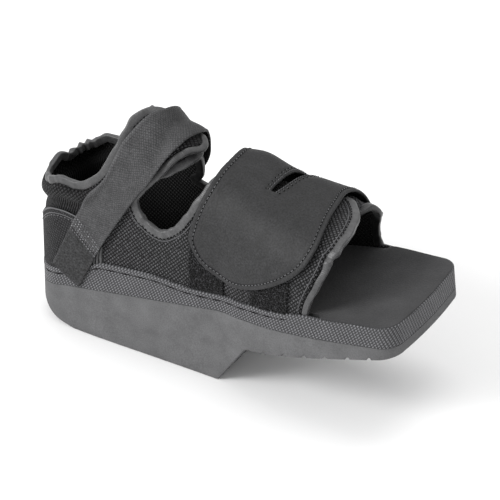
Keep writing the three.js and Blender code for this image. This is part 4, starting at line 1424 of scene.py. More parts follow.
@dataclass
class Platform:
    """The foam wedge, the webbing strip round the platform, the midsole and the foot bed."""

    edge_round: float = 1.2
    round_steps: int = 6
    wall_steps: int = 10
    bed_edge: float = 0.3
    bed_round: float = 0.6
    open_toe: float = 0.795
    open_toe_run: float = 3.0
    rim_rise: float = 1.8
    rim_run: tuple = (190.0, 235.0, 282.0)
    overhang: float = 1.5
    # Painted shade on the foot bed: its colour's factor near the vamp's edge and at the open toe,
    # and the millimetres along the shoe over which it rises between them.
    bed_shade_tones: tuple = (0.9, 1.25)
    bed_shade_run: tuple = (215.0, 285.0)
    groove_drop: float = 4.1
    band_gap: float = 1.4
    band_end: float = 215.0
    band_fade: float = 20.0
    bare_round: float = 0.4
    tuck: float = 0.55
    tuck_run: tuple = (226.0, 236.0)
    stitch_pitch: float = 11.5
    stitch_end: float = 207.0
    stitch_sunk: float = 0.35

    # Each stitch is a long float and a short knot at the same place: length and radius.
    STITCH = ((8.0, 0.3), (1.1, 0.55))
    # The strip below its band: share of half its height, and how far in.
    FACE = ((0.0, 0.12), (0.05, 0.0), (0.3, 0.0), (0.5, 0.0))
    # The foot bed's top: how far in from its edge, and the share of the rim's rise.
    CROWN = ((3.0, 0.95), (7.0, 0.75), (12.0, 0.42), (18.0, 0.12), (24.0, 0.0))
    # The band on top of the strip: millimetres below the top, how far in, and the colour's factor,
    # which paints shade into the groove, makes the inturned top edge a little darker and the proud
    # band a little lighter.
    BAND = (
        (5.0, 0.0, 1.0), (4.6, 0.2, 0.75), (4.1, 0.5, 0.4), (3.6, 0.2, 0.75), (3.2, -0.1, 1.05),
        (2.2, -0.3, 1.1), (1.2, -0.25, 1.1), (0.5, 0.0, 1.1), (0.1, 0.35, 1.0), (0.0, 0.7, 0.9),
    )

    def sole(self) -> None:
        """The moulded wedge, with its rounded lower edge and the forefoot's grooves."""
        under, seat, r = wedge_profile(), LAST.seat, self.edge_round
        profile = [
            (r * (1 - math.cos(t)), lambda x, t=t: under(x) + r * (1 - math.sin(t)))
            for t in np.linspace(math.pi / 2, 0, self.round_steps)
        ]
        profile += [
            (0.0, lambda x, k=k: under(x) + r + (seat(x) - under(x) - r) * k)
            for k in np.linspace(1 / self.wall_steps, 1, self.wall_steps)
        ]
        slab(profile).piece("foam_wedge", FOAM, Slot.FOAM.value, "outsole", smooth=35)

    def strip(self) -> None:
        """The woven strip glued round the platform, with a band and a stitched groove on top."""
        z = SIZES
        outer, inner = plan_loop(0), plan_loop(z.strip_thickness)
        top, low = LAST.strip_top, lambda x: LAST.seat(x) + z.clearance
        bare = smoothstep(outer[:, :1], self.band_end - self.band_fade, self.band_end)
        sunk = lambda x: top(x) - self.tuck * smoothstep(x, *self.tuck_run)
        rows, tones = [], []
        for share, inset in self.FACE:
            plan = outer + (inner - outer) * inset / z.strip_thickness
            reach = top(plan[:, 0]) - self.groove_drop - self.band_gap - low(plan[:, 0])
            rows.append(np.column_stack([plan, low(plan[:, 0]) + reach * share * 2]))
            tones.append(np.ones(len(outer)))
        # The band's rows carry painted shade in its groove.
        for below, inset, tone in self.BAND:
            inset = inset + (max(0.0, self.bare_round - below) - inset) * bare
            plan = outer + (inner - outer) * inset / z.strip_thickness
            rows.append(np.column_stack([plan, sunk(plan[:, 0]) - below]))
            tones.append(tone + (1 - tone) * bare[:, 0])
        for share in (1.0, 0.5, 0.0):
            height = low(inner[:, 0]) * (1 - share) + sunk(inner[:, 0]) * share
            rows.append(np.column_stack([inner, height]))
            tones.append(np.ones(len(outer)))
        rings = np.stack(rows, 1)
        skin = swept(rings, closed=True)
        up = rings[:, :, 2] - rings[:, :1, 2]
        skin.flat = np.stack([np.repeat(run_of(outer), len(rows)), up.ravel()], 1)
        skin.points = lean(skin.points)
        skin.shaded(np.stack(tones, 1).ravel())
        skin.piece("platform_strip", STRIP, Slot.WEBBING.value, "foxing_strip")
        groove = np.column_stack([outer, top(outer[:, 0]) - self.groove_drop])
        away = np.column_stack([outer - inner, np.zeros(len(outer))])
        half = len(outer) // 2 + 1
        threads = []
        for side in (slice(0, half), slice(half - 1, None)):
            keep = groove[side, 0] < self.stitch_end
            out = away[side][keep]
            track = groove[side][keep] - unit(out) * self.stitch_sunk
            threads += [thread_run(track, out, self.stitch_pitch, *size) for size in self.STITCH]
        merged(threads).piece("strip_stitches", THREAD_BLACK, Slot.WEBBING.value)

    def bed_plan(self, inset: float) -> Array:
        """The foot bed's outline: inside the upper's wall, and out to the strip at the open toe.

        Args:
            inset: How far inside it.

        Returns:
            The closed loop.
        """
        z = SIZES
        behind = plan_loop(z.strip_inset + z.wall + 3 * z.clearance + max(inset, 0))
        ahead = plan_loop(z.strip_inset + inset)
        start = self.open_toe * z.length
        open_toe = smoothstep(behind[:, :1], start, start + self.open_toe_run)
        return behind + (ahead - behind) * open_toe

    def bed(self) -> None:
        """The foot bed, bare at the open toe, where its rim rises to the strip."""
        z = SIZES
        low = lambda x: LAST.midsole_top(x) + z.clearance
        start, crest, end = self.rim_run
        rise = lambda x: self.rim_rise * smoothstep(x, start, crest)
        rim = lambda x: rise(x) * (1 - smoothstep(x, crest, end))
        top = lambda x, share: low(x) + z.insole + rim(x) * share
        edge, r, over = self.bed_edge, self.bed_round, self.overhang
        profile = [(edge, low), (0.0, lambda x: low(x) + edge), (0.0, lambda x: top(x, 1) - r)]
        profile += [
            (r * (1 - math.cos(t)) - over, lambda x, t=t: top(x, 1) - r * (1 - math.sin(t)))
            for t in np.linspace(0.0, math.pi / 2, self.round_steps)
        ]
        profile += [(inset, lambda x, share=share: top(x, share)) for inset, share in self.CROWN]
        skin = slab(profile, self.bed_plan)
        # Painted shade: the foot bed is darker near the vamp's edge and lighter towards the open
        # toe.
        dark, light = self.bed_shade_tones
        skin.shaded(dark + (light - dark) * smoothstep(skin.points[:, 0], *self.bed_shade_run))
        skin.piece("foot_bed", BED, Slot.BED.value, "insole")

    def board(self) -> None:
        """The foam board between the wedge and the foot bed."""
        z = SIZES
        low = lambda x: LAST.seat(x) + z.clearance
        profile = [(z.strip_inset, low), (z.strip_inset, LAST.midsole_top)]
        slab(profile).piece("foam_board", BOARD, Slot.BOARD.value, "midsole", smooth=35)

    def build(self) -> None:
        """Makes all of it."""
        self.sole()
        self.strip()
        self.board()
        self.bed()


def steady(value: float) -> Run:
    """The same value all along a run."""
    return lambda run: np.full_like(run, value)


@dataclass(frozen=True)
class TapeLook:
    """How a tape is laid and toned, by the distance along it.

    Attributes:
        dark: The painted shade on its inward face, as a share of its outer face's tone.
        inset: How far it is set in towards the foot.
        lift: How far it is shifted up.
        widen: How much wider it is towards the upper.
        fade: How much darker it is painted as a whole; on the far vamp tape this is painted shade.
        reach: Where round it the inward face's painted shade starts and is full.
        collar: Whether it runs along the collar.
    """

    dark: Run
    inset: Run = steady(0.0)
    lift: Run = steady(0.0)
    widen: Run = steady(0.0)
    fade: Run = steady(0.0)
    reach: tuple = (-0.2, 0.5)
    collar: bool = False


@dataclass
class Upper:
    """The padded mesh upper with its edge tape, the tape's stitches and piping beside it."""

    cell: float = 1.5
    line_pitch: float = 0.8
    cover: float = 1.2
    throat_gap: float = 3.0
    tape_pitch: float = 0.7
    tape_sides: int = 20
    tape_high: float = 1.95
    tape_square: float = 0.5
    wave: float = 0.2
    wave_pitch: float = 5.0
    drift_pitch: float = 7.0
    pucker_swell: float = 0.4
    pucker_drift: float = 0.5
    # Painted shade on the tape's border beside the mesh, and a painted highlight along its folded
    # rim.
    border_shade: float = 0.35
    rim_light: float = 0.25
    heel_tuck: float = 1.6
    heel_tuck_run: float = 60.0
    stitch_pitch: float = 3.0
    stitch: tuple = (1.7, 0.34)
    piping: float = 0.34
    # Painted shade on the mesh's inner face, inside the shoe.
    inside_shade: float = 0.97

    # Where the mesh is darker, by how much and over which millimetres: painted shade under the
    # flap and under the strap, and a darker tone at the waist and towards the heel.
    FLAP_SHADE, FLAP_SHADE_RUN, FLAP_SHADE_EDGE = 0.92, (142, 150, 205, 213), (40, 52)
    WAIST_SHADE, WAIST_RUN, WAIST_END = 0.2, (11, 14, 21, 25), (38, 60)
    STRAP_SHADE, STRAP_SHADE_RUN, STRAP_SHADE_EDGE = 0.6, (88, 94, 125, 130), (4, 16)
    HEEL_SHADE, HEEL_SHADE_END = 0.6, (45, 65)
    # Trims beside the tape: how far in, how far off the mesh, and where they start along the shoe.
    STITCH_LINE, PIPING_LINE = (-0.5, 0.75, -99), (1.3, 0.1, 62)
    # Where the strap and the lap leave the trims out: along the shoe, and shares of the way up.
    UNDER_STRAP, UNDER_STRAP_RISE, TRIM_END = (90, 128), 0.86, 1.0

    # Where the tape puckers: millimetres along it, how deep and how wide.
    NEAR_PUCKERS = (
        (7, 0.5, 2.4), (36, 0.5, 2.2), (42, -0.5, 1.8), (49, 0.5, 2.0), (118, 0.3, 3.0),
        (127, -0.35, 3.4), (136, 0.35, 3.4), (143, -0.2, 3.0),
        (262, 0.4, 2.0), (278, 0.55, 1.6), (282, -0.5, 1.6), (297, 0.6, 1.5), (301, -0.5, 1.5),
        (305, 0.5, 1.6), (322, 0.4, 2.2),
    )
    FAR_PUCKERS = (
        (12, -0.8, 2.0), (17, 1.2, 1.6), (20.5, -1.6, 1.1), (23.5, 1.5, 1.1), (26.5, -1.6, 1.1),
        (29.5, 1.2, 1.2), (32.5, -0.9, 1.1), (36, 0.6, 1.3), (40, -0.5, 1.3), (44, 0.4, 1.4),
        (187, 0.4, 2.0), (242, 0.4, 2.0),
    )
    FRONT_PUCKERS = (
        (20, 0.3, 2.5), (41, 0.8, 2.0), (45, -1.1, 1.8), (50, 0.9, 2.2), (86, 0.4, 2.5),
    )

    def inset(self, rows: Sequence, front: bool, distance: float, near: bool) -> Array:
        """A line inside an edge of the upper.

        Args:
            rows: The edge's table.
            front: Whether it is a vamp's front edge.
            distance: How far inside the edge the line runs.
            near: Whether it lies on the near side.

        Returns:
            Its points on the horseshoe.
        """
        edge = LAST.edge(rows, 1, self.line_pitch)
        line = LAST.offset(edge, distance if front else -distance)
        return line * [-1 if near else 1, 1]

    def half(self, edge_rows: Sequence, front_rows: Sequence) -> Array:
        """Half the upper's outline, inside its tape.

        Args:
            edge_rows: The table of its collar, wing and cut-out.
            front_rows: The table of its vamp's front.

        Returns:
            The outline on the far side of the horseshoe.
        """
        back, gap = SIZES.tape_width / 2 - self.cover, self.throat_gap
        edge = self.inset(edge_rows, False, back, False)
        front = self.inset(front_rows, True, back, False)
        start, end = edge_rows[-1], front_rows[-1]
        t = np.linspace(0, 1, 60)
        x = start[0] * SIZES.length + gap + ((end[0] - start[0]) * SIZES.length - 2 * gap) * t
        rise = start[1] + (end[1] - start[1]) * t
        throat = np.stack([LAST.arc_at(x), rise * LAST.girth(x)], 1)
        outline = np.vstack([edge, throat, front[::-1]])
        outline[0, 0] = 0
        outline[-1, 1] = 0
        return outline

    def shell(self) -> None:
        """The mesh itself, one hollow wall, painted dark inside and under the flap as shade."""
        far = self.half(FAR_EDGE, FAR_FRONT)
        near = self.half(NEAR_EDGE, NEAR_FRONT)[1:][::-1] * [-1, 1]
        pattern = Pattern.cut(np.vstack([far, near]), self.cell)
        skin = pattern.wrap(LAST.off_horseshoe, level(-SIZES.wall), level(0.0))
        s, g = skin.flat.T
        x = LAST.x_at(s)
        past = LAST.side_girth(x) - g
        before = lambda place, run: 1 - smoothstep(place, *run)
        covered = plateau(x, *self.FLAP_SHADE_RUN) * before(past, self.FLAP_SHADE_EDGE)
        waist = plateau(LAST.below_collar(s, g), *self.WAIST_RUN) * before(x, self.WAIST_END)
        crest = plateau(x, *self.STRAP_SHADE_RUN) * before(past, self.STRAP_SHADE_EDGE)
        heel = before(x, self.HEEL_SHADE_END)
        # Painted shade under the flap, under the strap and on the inner face; a darker tone at the
        # waist and towards the heel.
        tone = (1 - self.FLAP_SHADE * covered) * (1 - self.WAIST_SHADE * waist)
        tone = tone * (1 - self.STRAP_SHADE * crest) * (1 - self.HEEL_SHADE * heel)
        skin.shaded(tone * (1 - self.inside_shade * skin.fields["inside"]))
        skin.fields["waist"] = waist
        skin.piece("mesh_upper", MESH, Slot.MESH.value, "upper")

    def tape(
        self, name: str, line: Array, node: str, puckers: Sequence, seed: int, look: TapeLook
    ) -> None:
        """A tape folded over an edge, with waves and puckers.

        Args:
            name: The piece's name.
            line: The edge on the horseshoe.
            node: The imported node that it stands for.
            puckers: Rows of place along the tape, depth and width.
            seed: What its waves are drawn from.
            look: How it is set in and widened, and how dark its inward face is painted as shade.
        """
        s, g = line.T
        run = run_of(LAST.horseshoe(s, g))
        centre = LAST.off_horseshoe(s, g + look.lift(run), -SIZES.wall / 2 - look.inset(run))
        normal = normal_at(LAST.horseshoe, s, g, -1)
        side = unit(np.cross(unit(np.gradient(centre, axis=0)), normal))
        back = int(np.argmin(g)) if look.collar else len(g) // 4
        step = np.array([0.0, -1.0]) if look.collar else np.array([-np.sign(s[back]), 0.0])
        next_to = LAST.horseshoe(s[back] + step[0], g[back] + step[1])
        inside = float(np.sign(side[back] @ (next_to - LAST.horseshoe(s[back], g[back]))))
        thick = 1 + self.wave * ripple(run, self.wave_pitch, seed)
        drift = self.wave * 2 * ripple(run, self.drift_pitch, seed + 1)
        for place, depth, width in puckers:
            thick = thick + self.pucker_swell * depth * hump(run, place, width)
            drift = drift + self.pucker_drift * depth * hump(run, place + width / 2, width)
        angle = np.arange(self.tape_sides) * 2 * math.pi / self.tape_sides
        squared = lambda value: np.sign(value) * np.abs(value) ** self.tape_square
        across = squared(np.cos(angle))
        wide = across * SIZES.tape_width / 2 + drift[:, None]
        wide = wide + look.widen(run)[:, None] * np.maximum(across * inside, 0) * inside
        high = squared(np.sin(angle)) * self.tape_high
        rings = centre[:, None] + side[:, None] * wide[..., None]
        rings = rings + normal[:, None] * (high * thick[:, None])[..., None]
        skin = swept(rings)
        # Painted shade on the inward face and on the border beside the mesh, and a painted
        # highlight along the folded rim.
        inward = smoothstep(-np.sin(angle), *look.reach)
        facing = np.cos(angle) * inside
        rim = 1 - self.border_shade * np.maximum(facing, 0) ** 6
        rim = rim + self.rim_light * np.maximum(-facing, 0) ** 4
        tone = (1 - inward * (1 - look.dark(run)[:, None])) * rim * (1 - look.fade(run)[:, None])
        skin.shaded(tone.ravel())
        skin.piece(name, SATIN, Slot.SATIN.value, node)

    def trims(self) -> None:
        """The dark stitches along the tape and the thin piping beside it, on both sides."""
        edges = (
            (NEAR_EDGE, False, True), (FAR_EDGE, False, False),
            (NEAR_FRONT, True, True), (FAR_FRONT, True, False),
        )
        behind, ahead = self.UNDER_STRAP
        for name, finish, (beyond, lift, start), stitched in (
            ("binding_stitches", THREAD_BLACK, self.STITCH_LINE, True),
            ("binding_piping", PIPING, self.PIPING_LINE, False),
        ):
            skins = []
            for rows, front, near in edges:
                line = self.inset(rows, front, SIZES.tape_width / 2 + beyond, near)
                line = even(line, self.line_pitch)
                x = LAST.x_at(line[:, 0])
                rise = line[:, 1] / LAST.side_girth(x)
                hidden = (x > behind) & (x < ahead) & (rise > self.UNDER_STRAP_RISE)
                keep = (x > start) & ~hidden & (front | (rise < self.TRIM_END))
                turns = np.flatnonzero(np.diff(keep.astype(int))) + 1
                for part in np.split(np.arange(len(line)), turns):
                    if keep[part[0]] and len(part) > 8:
                        skins.append(self.sewn(line[part], lift, stitched))
            merged(skins).piece(name, finish, Slot.SATIN.value)

    def sewn(self, line: Array, distance: float, stitched: bool) -> Skin:
        """Stitches or piping along a line.

        Args:
            line: The line on the horseshoe.
            distance: How far off the last it lies.
            stitched: Whether it is stitches.

        Returns:
            The mesh.
        """
        s, g = line.T
        tuck = self.heel_tuck * hump(s, 0, self.heel_tuck_run)
        track = LAST.off_horseshoe(s, g, distance - tuck)
        out = normal_at(LAST.horseshoe, s, g, -1)
        if stitched:
            return thread_run(track, out, self.stitch_pitch, *self.stitch)
        return cord(track, out, self.piping)

    def build(self) -> None:
        """Makes the shell, the three tapes and their trims."""
        self.shell()
        far = LAST.edge(FAR_EDGE, 1, self.tape_pitch)
        near = LAST.edge(NEAR_EDGE, -1, self.tape_pitch)[1:][::-1]
        turn = float(run_of(LAST.horseshoe(*np.vstack([near, far[:1]]).T))[-1])
        puckers = [(turn - place, depth, width) for place, depth, width in self.NEAR_PUCKERS]
        puckers += [(turn + place, depth, width) for place, depth, width in self.FAR_PUCKERS]
        # Painted shade on the collar tape's inward face: light to 70 mm past the heel on the far
        # side, nearly black beyond 110 mm; the whole tape is also darker at the near wing's front
        # and round the heel.
        collar = TapeLook(
            dark=lambda run: 0.05 + 0.7 * (1 - smoothstep(run, turn + 70, turn + 110)),
            inset=lambda run: self.heel_tuck * hump(run, turn, self.heel_tuck_run),
            lift=lambda run: 2.4 * hump(run, turn + 3, 6) - 2.6 * hump(run, turn + 14, 5),
            widen=lambda run: 1.8 * hump(run, turn - 136, 16) - 1.6 * hump(run, turn - 215, 28),
            fade=lambda run: 0.4 * hump(run, turn - 212, 30) + 0.32 * hump(run, turn - 10, 60),
            collar=True,
        )
        self.tape("collar_binding", np.vstack([near, far]), "collar_tape", puckers, 11, collar)
        front = LAST.edge(NEAR_FRONT, -1, self.tape_pitch)
        # Painted shade on the near vamp tape's inward face; the whole tape a little darker.
        look = TapeLook(
            dark=steady(0.3),
            widen=lambda run: -1.8 * (1 - smoothstep(run, 30, 55)),
            fade=steady(0.12),
        )
        self.tape("vamp_binding_near", front, "vamp_tape_near", self.FRONT_PUCKERS, 21, look)
        front = LAST.edge(FAR_FRONT, 1, self.tape_pitch)
        # Painted shade on the far vamp tape, seen from inside the shoe: only its outermost face is
        # lit, its inward face is nearly black low down and lighter towards the top, and the whole
        # tape is darker, less so towards the top.
        band = lambda run: smoothstep(run, 40, 56)
        look = TapeLook(
            dark=lambda run: 0.04 + 0.6 * band(run),
            fade=lambda run: 0.85 - 0.25 * band(run),
            reach=(-0.9, 0.1),
        )
        self.tape("vamp_binding_far", front, "vamp_tape_far", (), 31, look)
        self.trims()


@dataclass
class HeelCounter:
    """The smooth patch round the back of the heel, with a rolled rim, a cord and stitches."""

    cell: float = 1.6
    line_pitch: float = 0.8
    edge_round: float = 0.8
    flatness: float = 0.8
    stitch_pitch: float = 3.0
    stitch: tuple = (1.9, 0.3)

    # Piece, how far below the patch's upper edge it runs, and its radius.
    CORDS = (("heel_rim", 0.2, 0.55), ("heel_cord", 3.3, 0.35))
    STITCH_DROP = 4.8
    # How far the cords sink into the patch, and the stitches stand off it.
    CORD_SUNK, STITCH_LIFT = 0.1, 0.05

    def build(self) -> None:
        """Cuts and wraps it, and lays its trims."""
        z = SIZES
        top = LAST.edge(COUNTER, 1, 1.0)
        s = np.linspace(top[-1, 0], 0, 90)
        x = LAST.horseshoe(s, np.zeros_like(s))[:, 0]
        low = np.stack([s, LAST.strip_top(x) - LAST.upper_base(x) + 2 * z.clearance], 1)
        far = np.vstack([top, low])
        far[0, 0] = 0
        outline = np.vstack([far, far[1:-1][::-1] * [-1, 1]])
        inner = 2.5 * z.clearance
        outer = inner + z.counter
        skin = Pattern.cut(outline, self.cell).wrap(
            LAST.off_horseshoe, level(inner), level(outer), rounding=self.edge_round
        )
        skin.piece("heel_patch", JERSEY, Slot.LAMINATE.value, "heel_counter")
        whole = np.vstack([top[1:][::-1] * [-1, 1], top])
        for name, drop, radius in self.CORDS:
            track, out = self.line(whole, drop, outer - self.CORD_SUNK)
            cord(track, out, radius, self.flatness).piece(name, PIPING, Slot.SATIN.value)
        track, out = self.line(whole, self.STITCH_DROP, outer + self.STITCH_LIFT)
        threads = thread_run(track, out, self.stitch_pitch, *self.stitch)
        threads.piece("heel_stitches", THREAD, Slot.SATIN.value)

    def line(self, top: Array, drop: float, distance: float) -> tuple[Array, Array]:
        """A line below the patch's upper edge.

        Args:
            top: The upper edge on the horseshoe.
            drop: How far below it.
            distance: How far off the last.

        Returns:
            Its points, and the direction away from the shoe at each.
        """
        s, g = even(LAST.offset(top, -drop), self.line_pitch).T
        track = LAST.off_horseshoe(s, g, np.full(len(s), distance))
        return track, normal_at(LAST.horseshoe, s, g, -1)


@dataclass
class InstepFlap:
    """The slotted closing flap over the instep, its stitches, and the pile it closes on."""

    cell: float = 1.2
    crown: float = 1.2
    crown_spread: float = 30.0
    fold: tuple = (8.0, (0.516 * SIZES.length, 24.0), (19.0, 24.0))
    lip: tuple = (1.0, (193.0, 18.0), (7.0, 12.0))
    seam: float = 3.6
    seam_depth: float = 0.5
    seam_size: float = 0.8
    seam_end: float = 75.0
    line_pitch: float = 0.6
    slot_line_pitch: float = 0.5
    stitch_pitch: float = 3.0
    stitch: tuple = (2.1, 0.23)
    hole: tuple = (0.9, 0.4)
    slot_hole: tuple = (0.8, 0.36)
    slot_hole_out: float = 0.7
    stitch_lift: float = 0.02
    pile_cell: float = 1.2
    pile_share: float = 0.8
    # How many times lighter the brightest loops are painted, as glints.
    pile_glint: float = 7.0
    loop: tuple = (1.7, 0.4)
    loop_pitch: float = 1.15
    loop_stray: float = 0.45

    # The colour's factor: painted light down the near side, which faces the lamp; a lighter margin
    # and cut edge; the seam darker, for its needle holes and as painted shade in its sunk groove;
    # and painted shade on the underside.
    SIDE_LIGHT, MARGIN_LIGHT, CUT_LIGHT, SEAM_DARK, UNDER_DARK = 0.35, 0.12, 0.2, 0.3, 0.9
    # Rows of dots round the slot: how far out, pitch, length and radius.
    DOTS = ((1.2, 2.3, 0.9, 0.3), (3.0, 4.1, 0.6, 0.28))
    # Pile strips: piece, where each starts and ends as shares of the length, its node and its seed.
    STRIPS = (
        ("pile_rear", 0.447, 0.536, "loop_patch_rear", 41),
        ("pile_front", 0.625, 0.722, "loop_patch_front", 42),
    )

    def relief(self, x: Array, q: Array) -> Array:
        """How far the flap's underside stands off the last."""
        crown = self.crown * hump(q, 0, self.crown_spread)
        return SIZES.flap_relief + crown + swell(x, q, *self.fold)

    def face(self, x: Array, q: Array) -> Array:
        """How far the flap's upper face stands off the last."""
        return self.relief(x, q) + SIZES.flap + swell(x, q, *self.lip)

    def outline(self) -> Array:
        """The flap's closed outline in x and q."""
        rows = [(share * SIZES.length, rise - 1) for share, rise in FLAP]
        return spline([(x, way * float(LAST.girth(x))) for x, way in rows], 700)

    def slot(self, extra: float = 0.0) -> Array:
        """The slot in x and q.

        Args:
            extra: How far outside the slot's edge.

        Returns:
            The closed outline.
        """
        z = SIZES
        middle = spline([(x * z.length, past, w * z.slot / 2 + extra) for x, past, w in SLOT], 60)
        one = middle[:, :2] + middle[:, 2:] * [1, 0]
        other = middle[:, :2] - middle[:, 2:] * [1, 0]
        return np.vstack([one, other[::-1]])

    def flap(self) -> None:
        """The flap itself, with a seam sunk along its edge."""
        pattern = Pattern.cut(self.outline(), self.cell, [self.slot()])
        sunk = lambda a, b, gap: -self.seam_depth * hump(gap, self.seam, self.seam_size)
        skin = pattern.wrap(LAST.off_saddle, self.relief, self.face, sunk)
        edge, q = skin.fields["edge"], skin.flat[:, 1]
        # Painted light down the near side, and painted shade in the seam's groove and on the
        # underside.
        tone = 1 + self.SIDE_LIGHT * smoothstep(-q, 25, 62)
        tone = tone + self.MARGIN_LIGHT * (1 - smoothstep(edge, 2.6, 3.4))
        tone = tone + self.CUT_LIGHT * (1 - smoothstep(edge, 0.2, 0.9))
        tone = tone - self.SEAM_DARK * hump(edge, self.seam, 0.7)
        skin.shaded(tone * (1 - self.UNDER_DARK * skin.fields["inside"]))
        skin.piece("closing_flap", LAMINATE, Slot.LAMINATE.value, "instep_flap")

    def on_face(self, line: Array, lift: float) -> tuple[Array, Array]:
        """A flat line laid on the flap's upper face, and the direction away from it."""
        x, q = line.T
        return LAST.off_saddle(x, q, self.face(x, q) + lift), normal_at(LAST.saddle, x, q, 1)

    def threads(self) -> None:
        """The seam's stitches along the edge, and the rows of dots round the slot."""
        loop = even(self.outline(), self.line_pitch, closed=True)
        side = beside(loop) * self.seam
        moved = max((loop + side, loop - side), key=lambda p: -np.ptp(p, 0).sum())
        moved = moved[(gaps(moved, loop) > self.seam * 0.95) & (moved[:, 1] < self.seam_end)]
        start = int(np.argmax(length_of(moved - np.roll(moved, 1, 0))))
        track, out = self.on_face(np.roll(moved, -start, 0), self.stitch_lift)
        length = run_of(track)[-1]
        count = max(2, round(length / self.stitch_pitch))
        spread = even(np.hstack([track, out]), length / (2 * count), guide=track)
        place, away = spread[:, :3], unit(spread[:, 3:])
        along = unit(np.gradient(place, axis=0))
        row = capsules(place[::2], along[::2], away[::2], *self.stitch)
        row.piece("flap_stitches", THREAD, Slot.LAMINATE.value)
        holes = [capsules(place[1::2], along[1::2], away[1::2], *self.hole)]
        dots = []
        for extra, pitch, *size in self.DOTS:
            line = even(self.slot(extra), self.slot_line_pitch)
            dots.append(thread_run(*self.on_face(line, self.stitch_lift), pitch, *size))
            line = even(self.slot(extra + self.slot_hole_out), self.slot_line_pitch)
            holes.append(thread_run(*self.on_face(line, 0.0), pitch, *self.slot_hole))
        merged(dots).piece("slot_stitches", THREAD, Slot.LAMINATE.value)
        merged(holes).piece("needle_holes", THREAD_BLACK, Slot.LAMINATE.value)

    def patch(self, name: str, start: float, end: float, node: str, seed: int) -> None:
        """A pile strip on the near half, from the strip up under the flap, with its loops.

        Args:
            name: The piece's name.
            start: Where it starts, a share of the length.
            end: Where it ends.
            node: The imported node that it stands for.
            seed: What its loops are drawn from.
        """
        z = SIZES
        left, right = start * z.length, end * z.length
        low = lambda x: LAST.strip_top(x) - LAST.upper_base(x) + z.clearance
        x = np.linspace(left, right, 30)
        bottom = np.stack([-LAST.arc_at(x), low(x)], 1)
        top = np.stack([-LAST.arc_at(x), 0.5 * LAST.girth(x)], 1)[::-1]
        inner, outer = level(z.clearance), level(z.clearance + z.pile * self.pile_share)
        pattern = Pattern.cut(np.vstack([bottom, top]), self.pile_cell)
        skin = pattern.wrap(LAST.off_horseshoe, inner, outer, rounding=1.0)
        source = np.random.default_rng(seed)
        across = np.arange(left - 0.5, right + 0.5, self.loop_pitch)
        up = np.arange(float(low(left)) + 0.6, 0.5 * float(LAST.girth(left)), self.loop_pitch)
        grid = np.stack(np.meshgrid(across, up), -1).reshape(-1, 2)
        stray = source.uniform(-self.loop_stray, self.loop_stray, grid.shape)
        grid = grid + stray * self.loop_pitch
        s, g = -LAST.arc_at(grid[:, 0]), grid[:, 1]
        places = LAST.off_horseshoe(s, g, np.full(len(s), z.clearance + z.pile))
        out = normal_at(LAST.horseshoe, s, g, -1)
        along = unit(source.normal(size=(len(s), 3)) + out * 0.3)
        loops = capsules(places, along, out, *self.loop)
        # Painted glints: a few loops are painted much lighter, as highlights.
        painted_glints = source.uniform(0.1, 1.0, len(s)) ** 3 * self.pile_glint
        loops.shaded(np.repeat(painted_glints, len(loops.points) // len(s)))
        skin.shaded(0.5)
        skin.joined(loops).piece(name, PILE, Slot.PILE.value, node)

    def build(self) -> None:
        """Makes the flap, its threads and both patches."""
        self.flap()
        self.threads()
        for strip in self.STRIPS:
            self.patch(*strip)


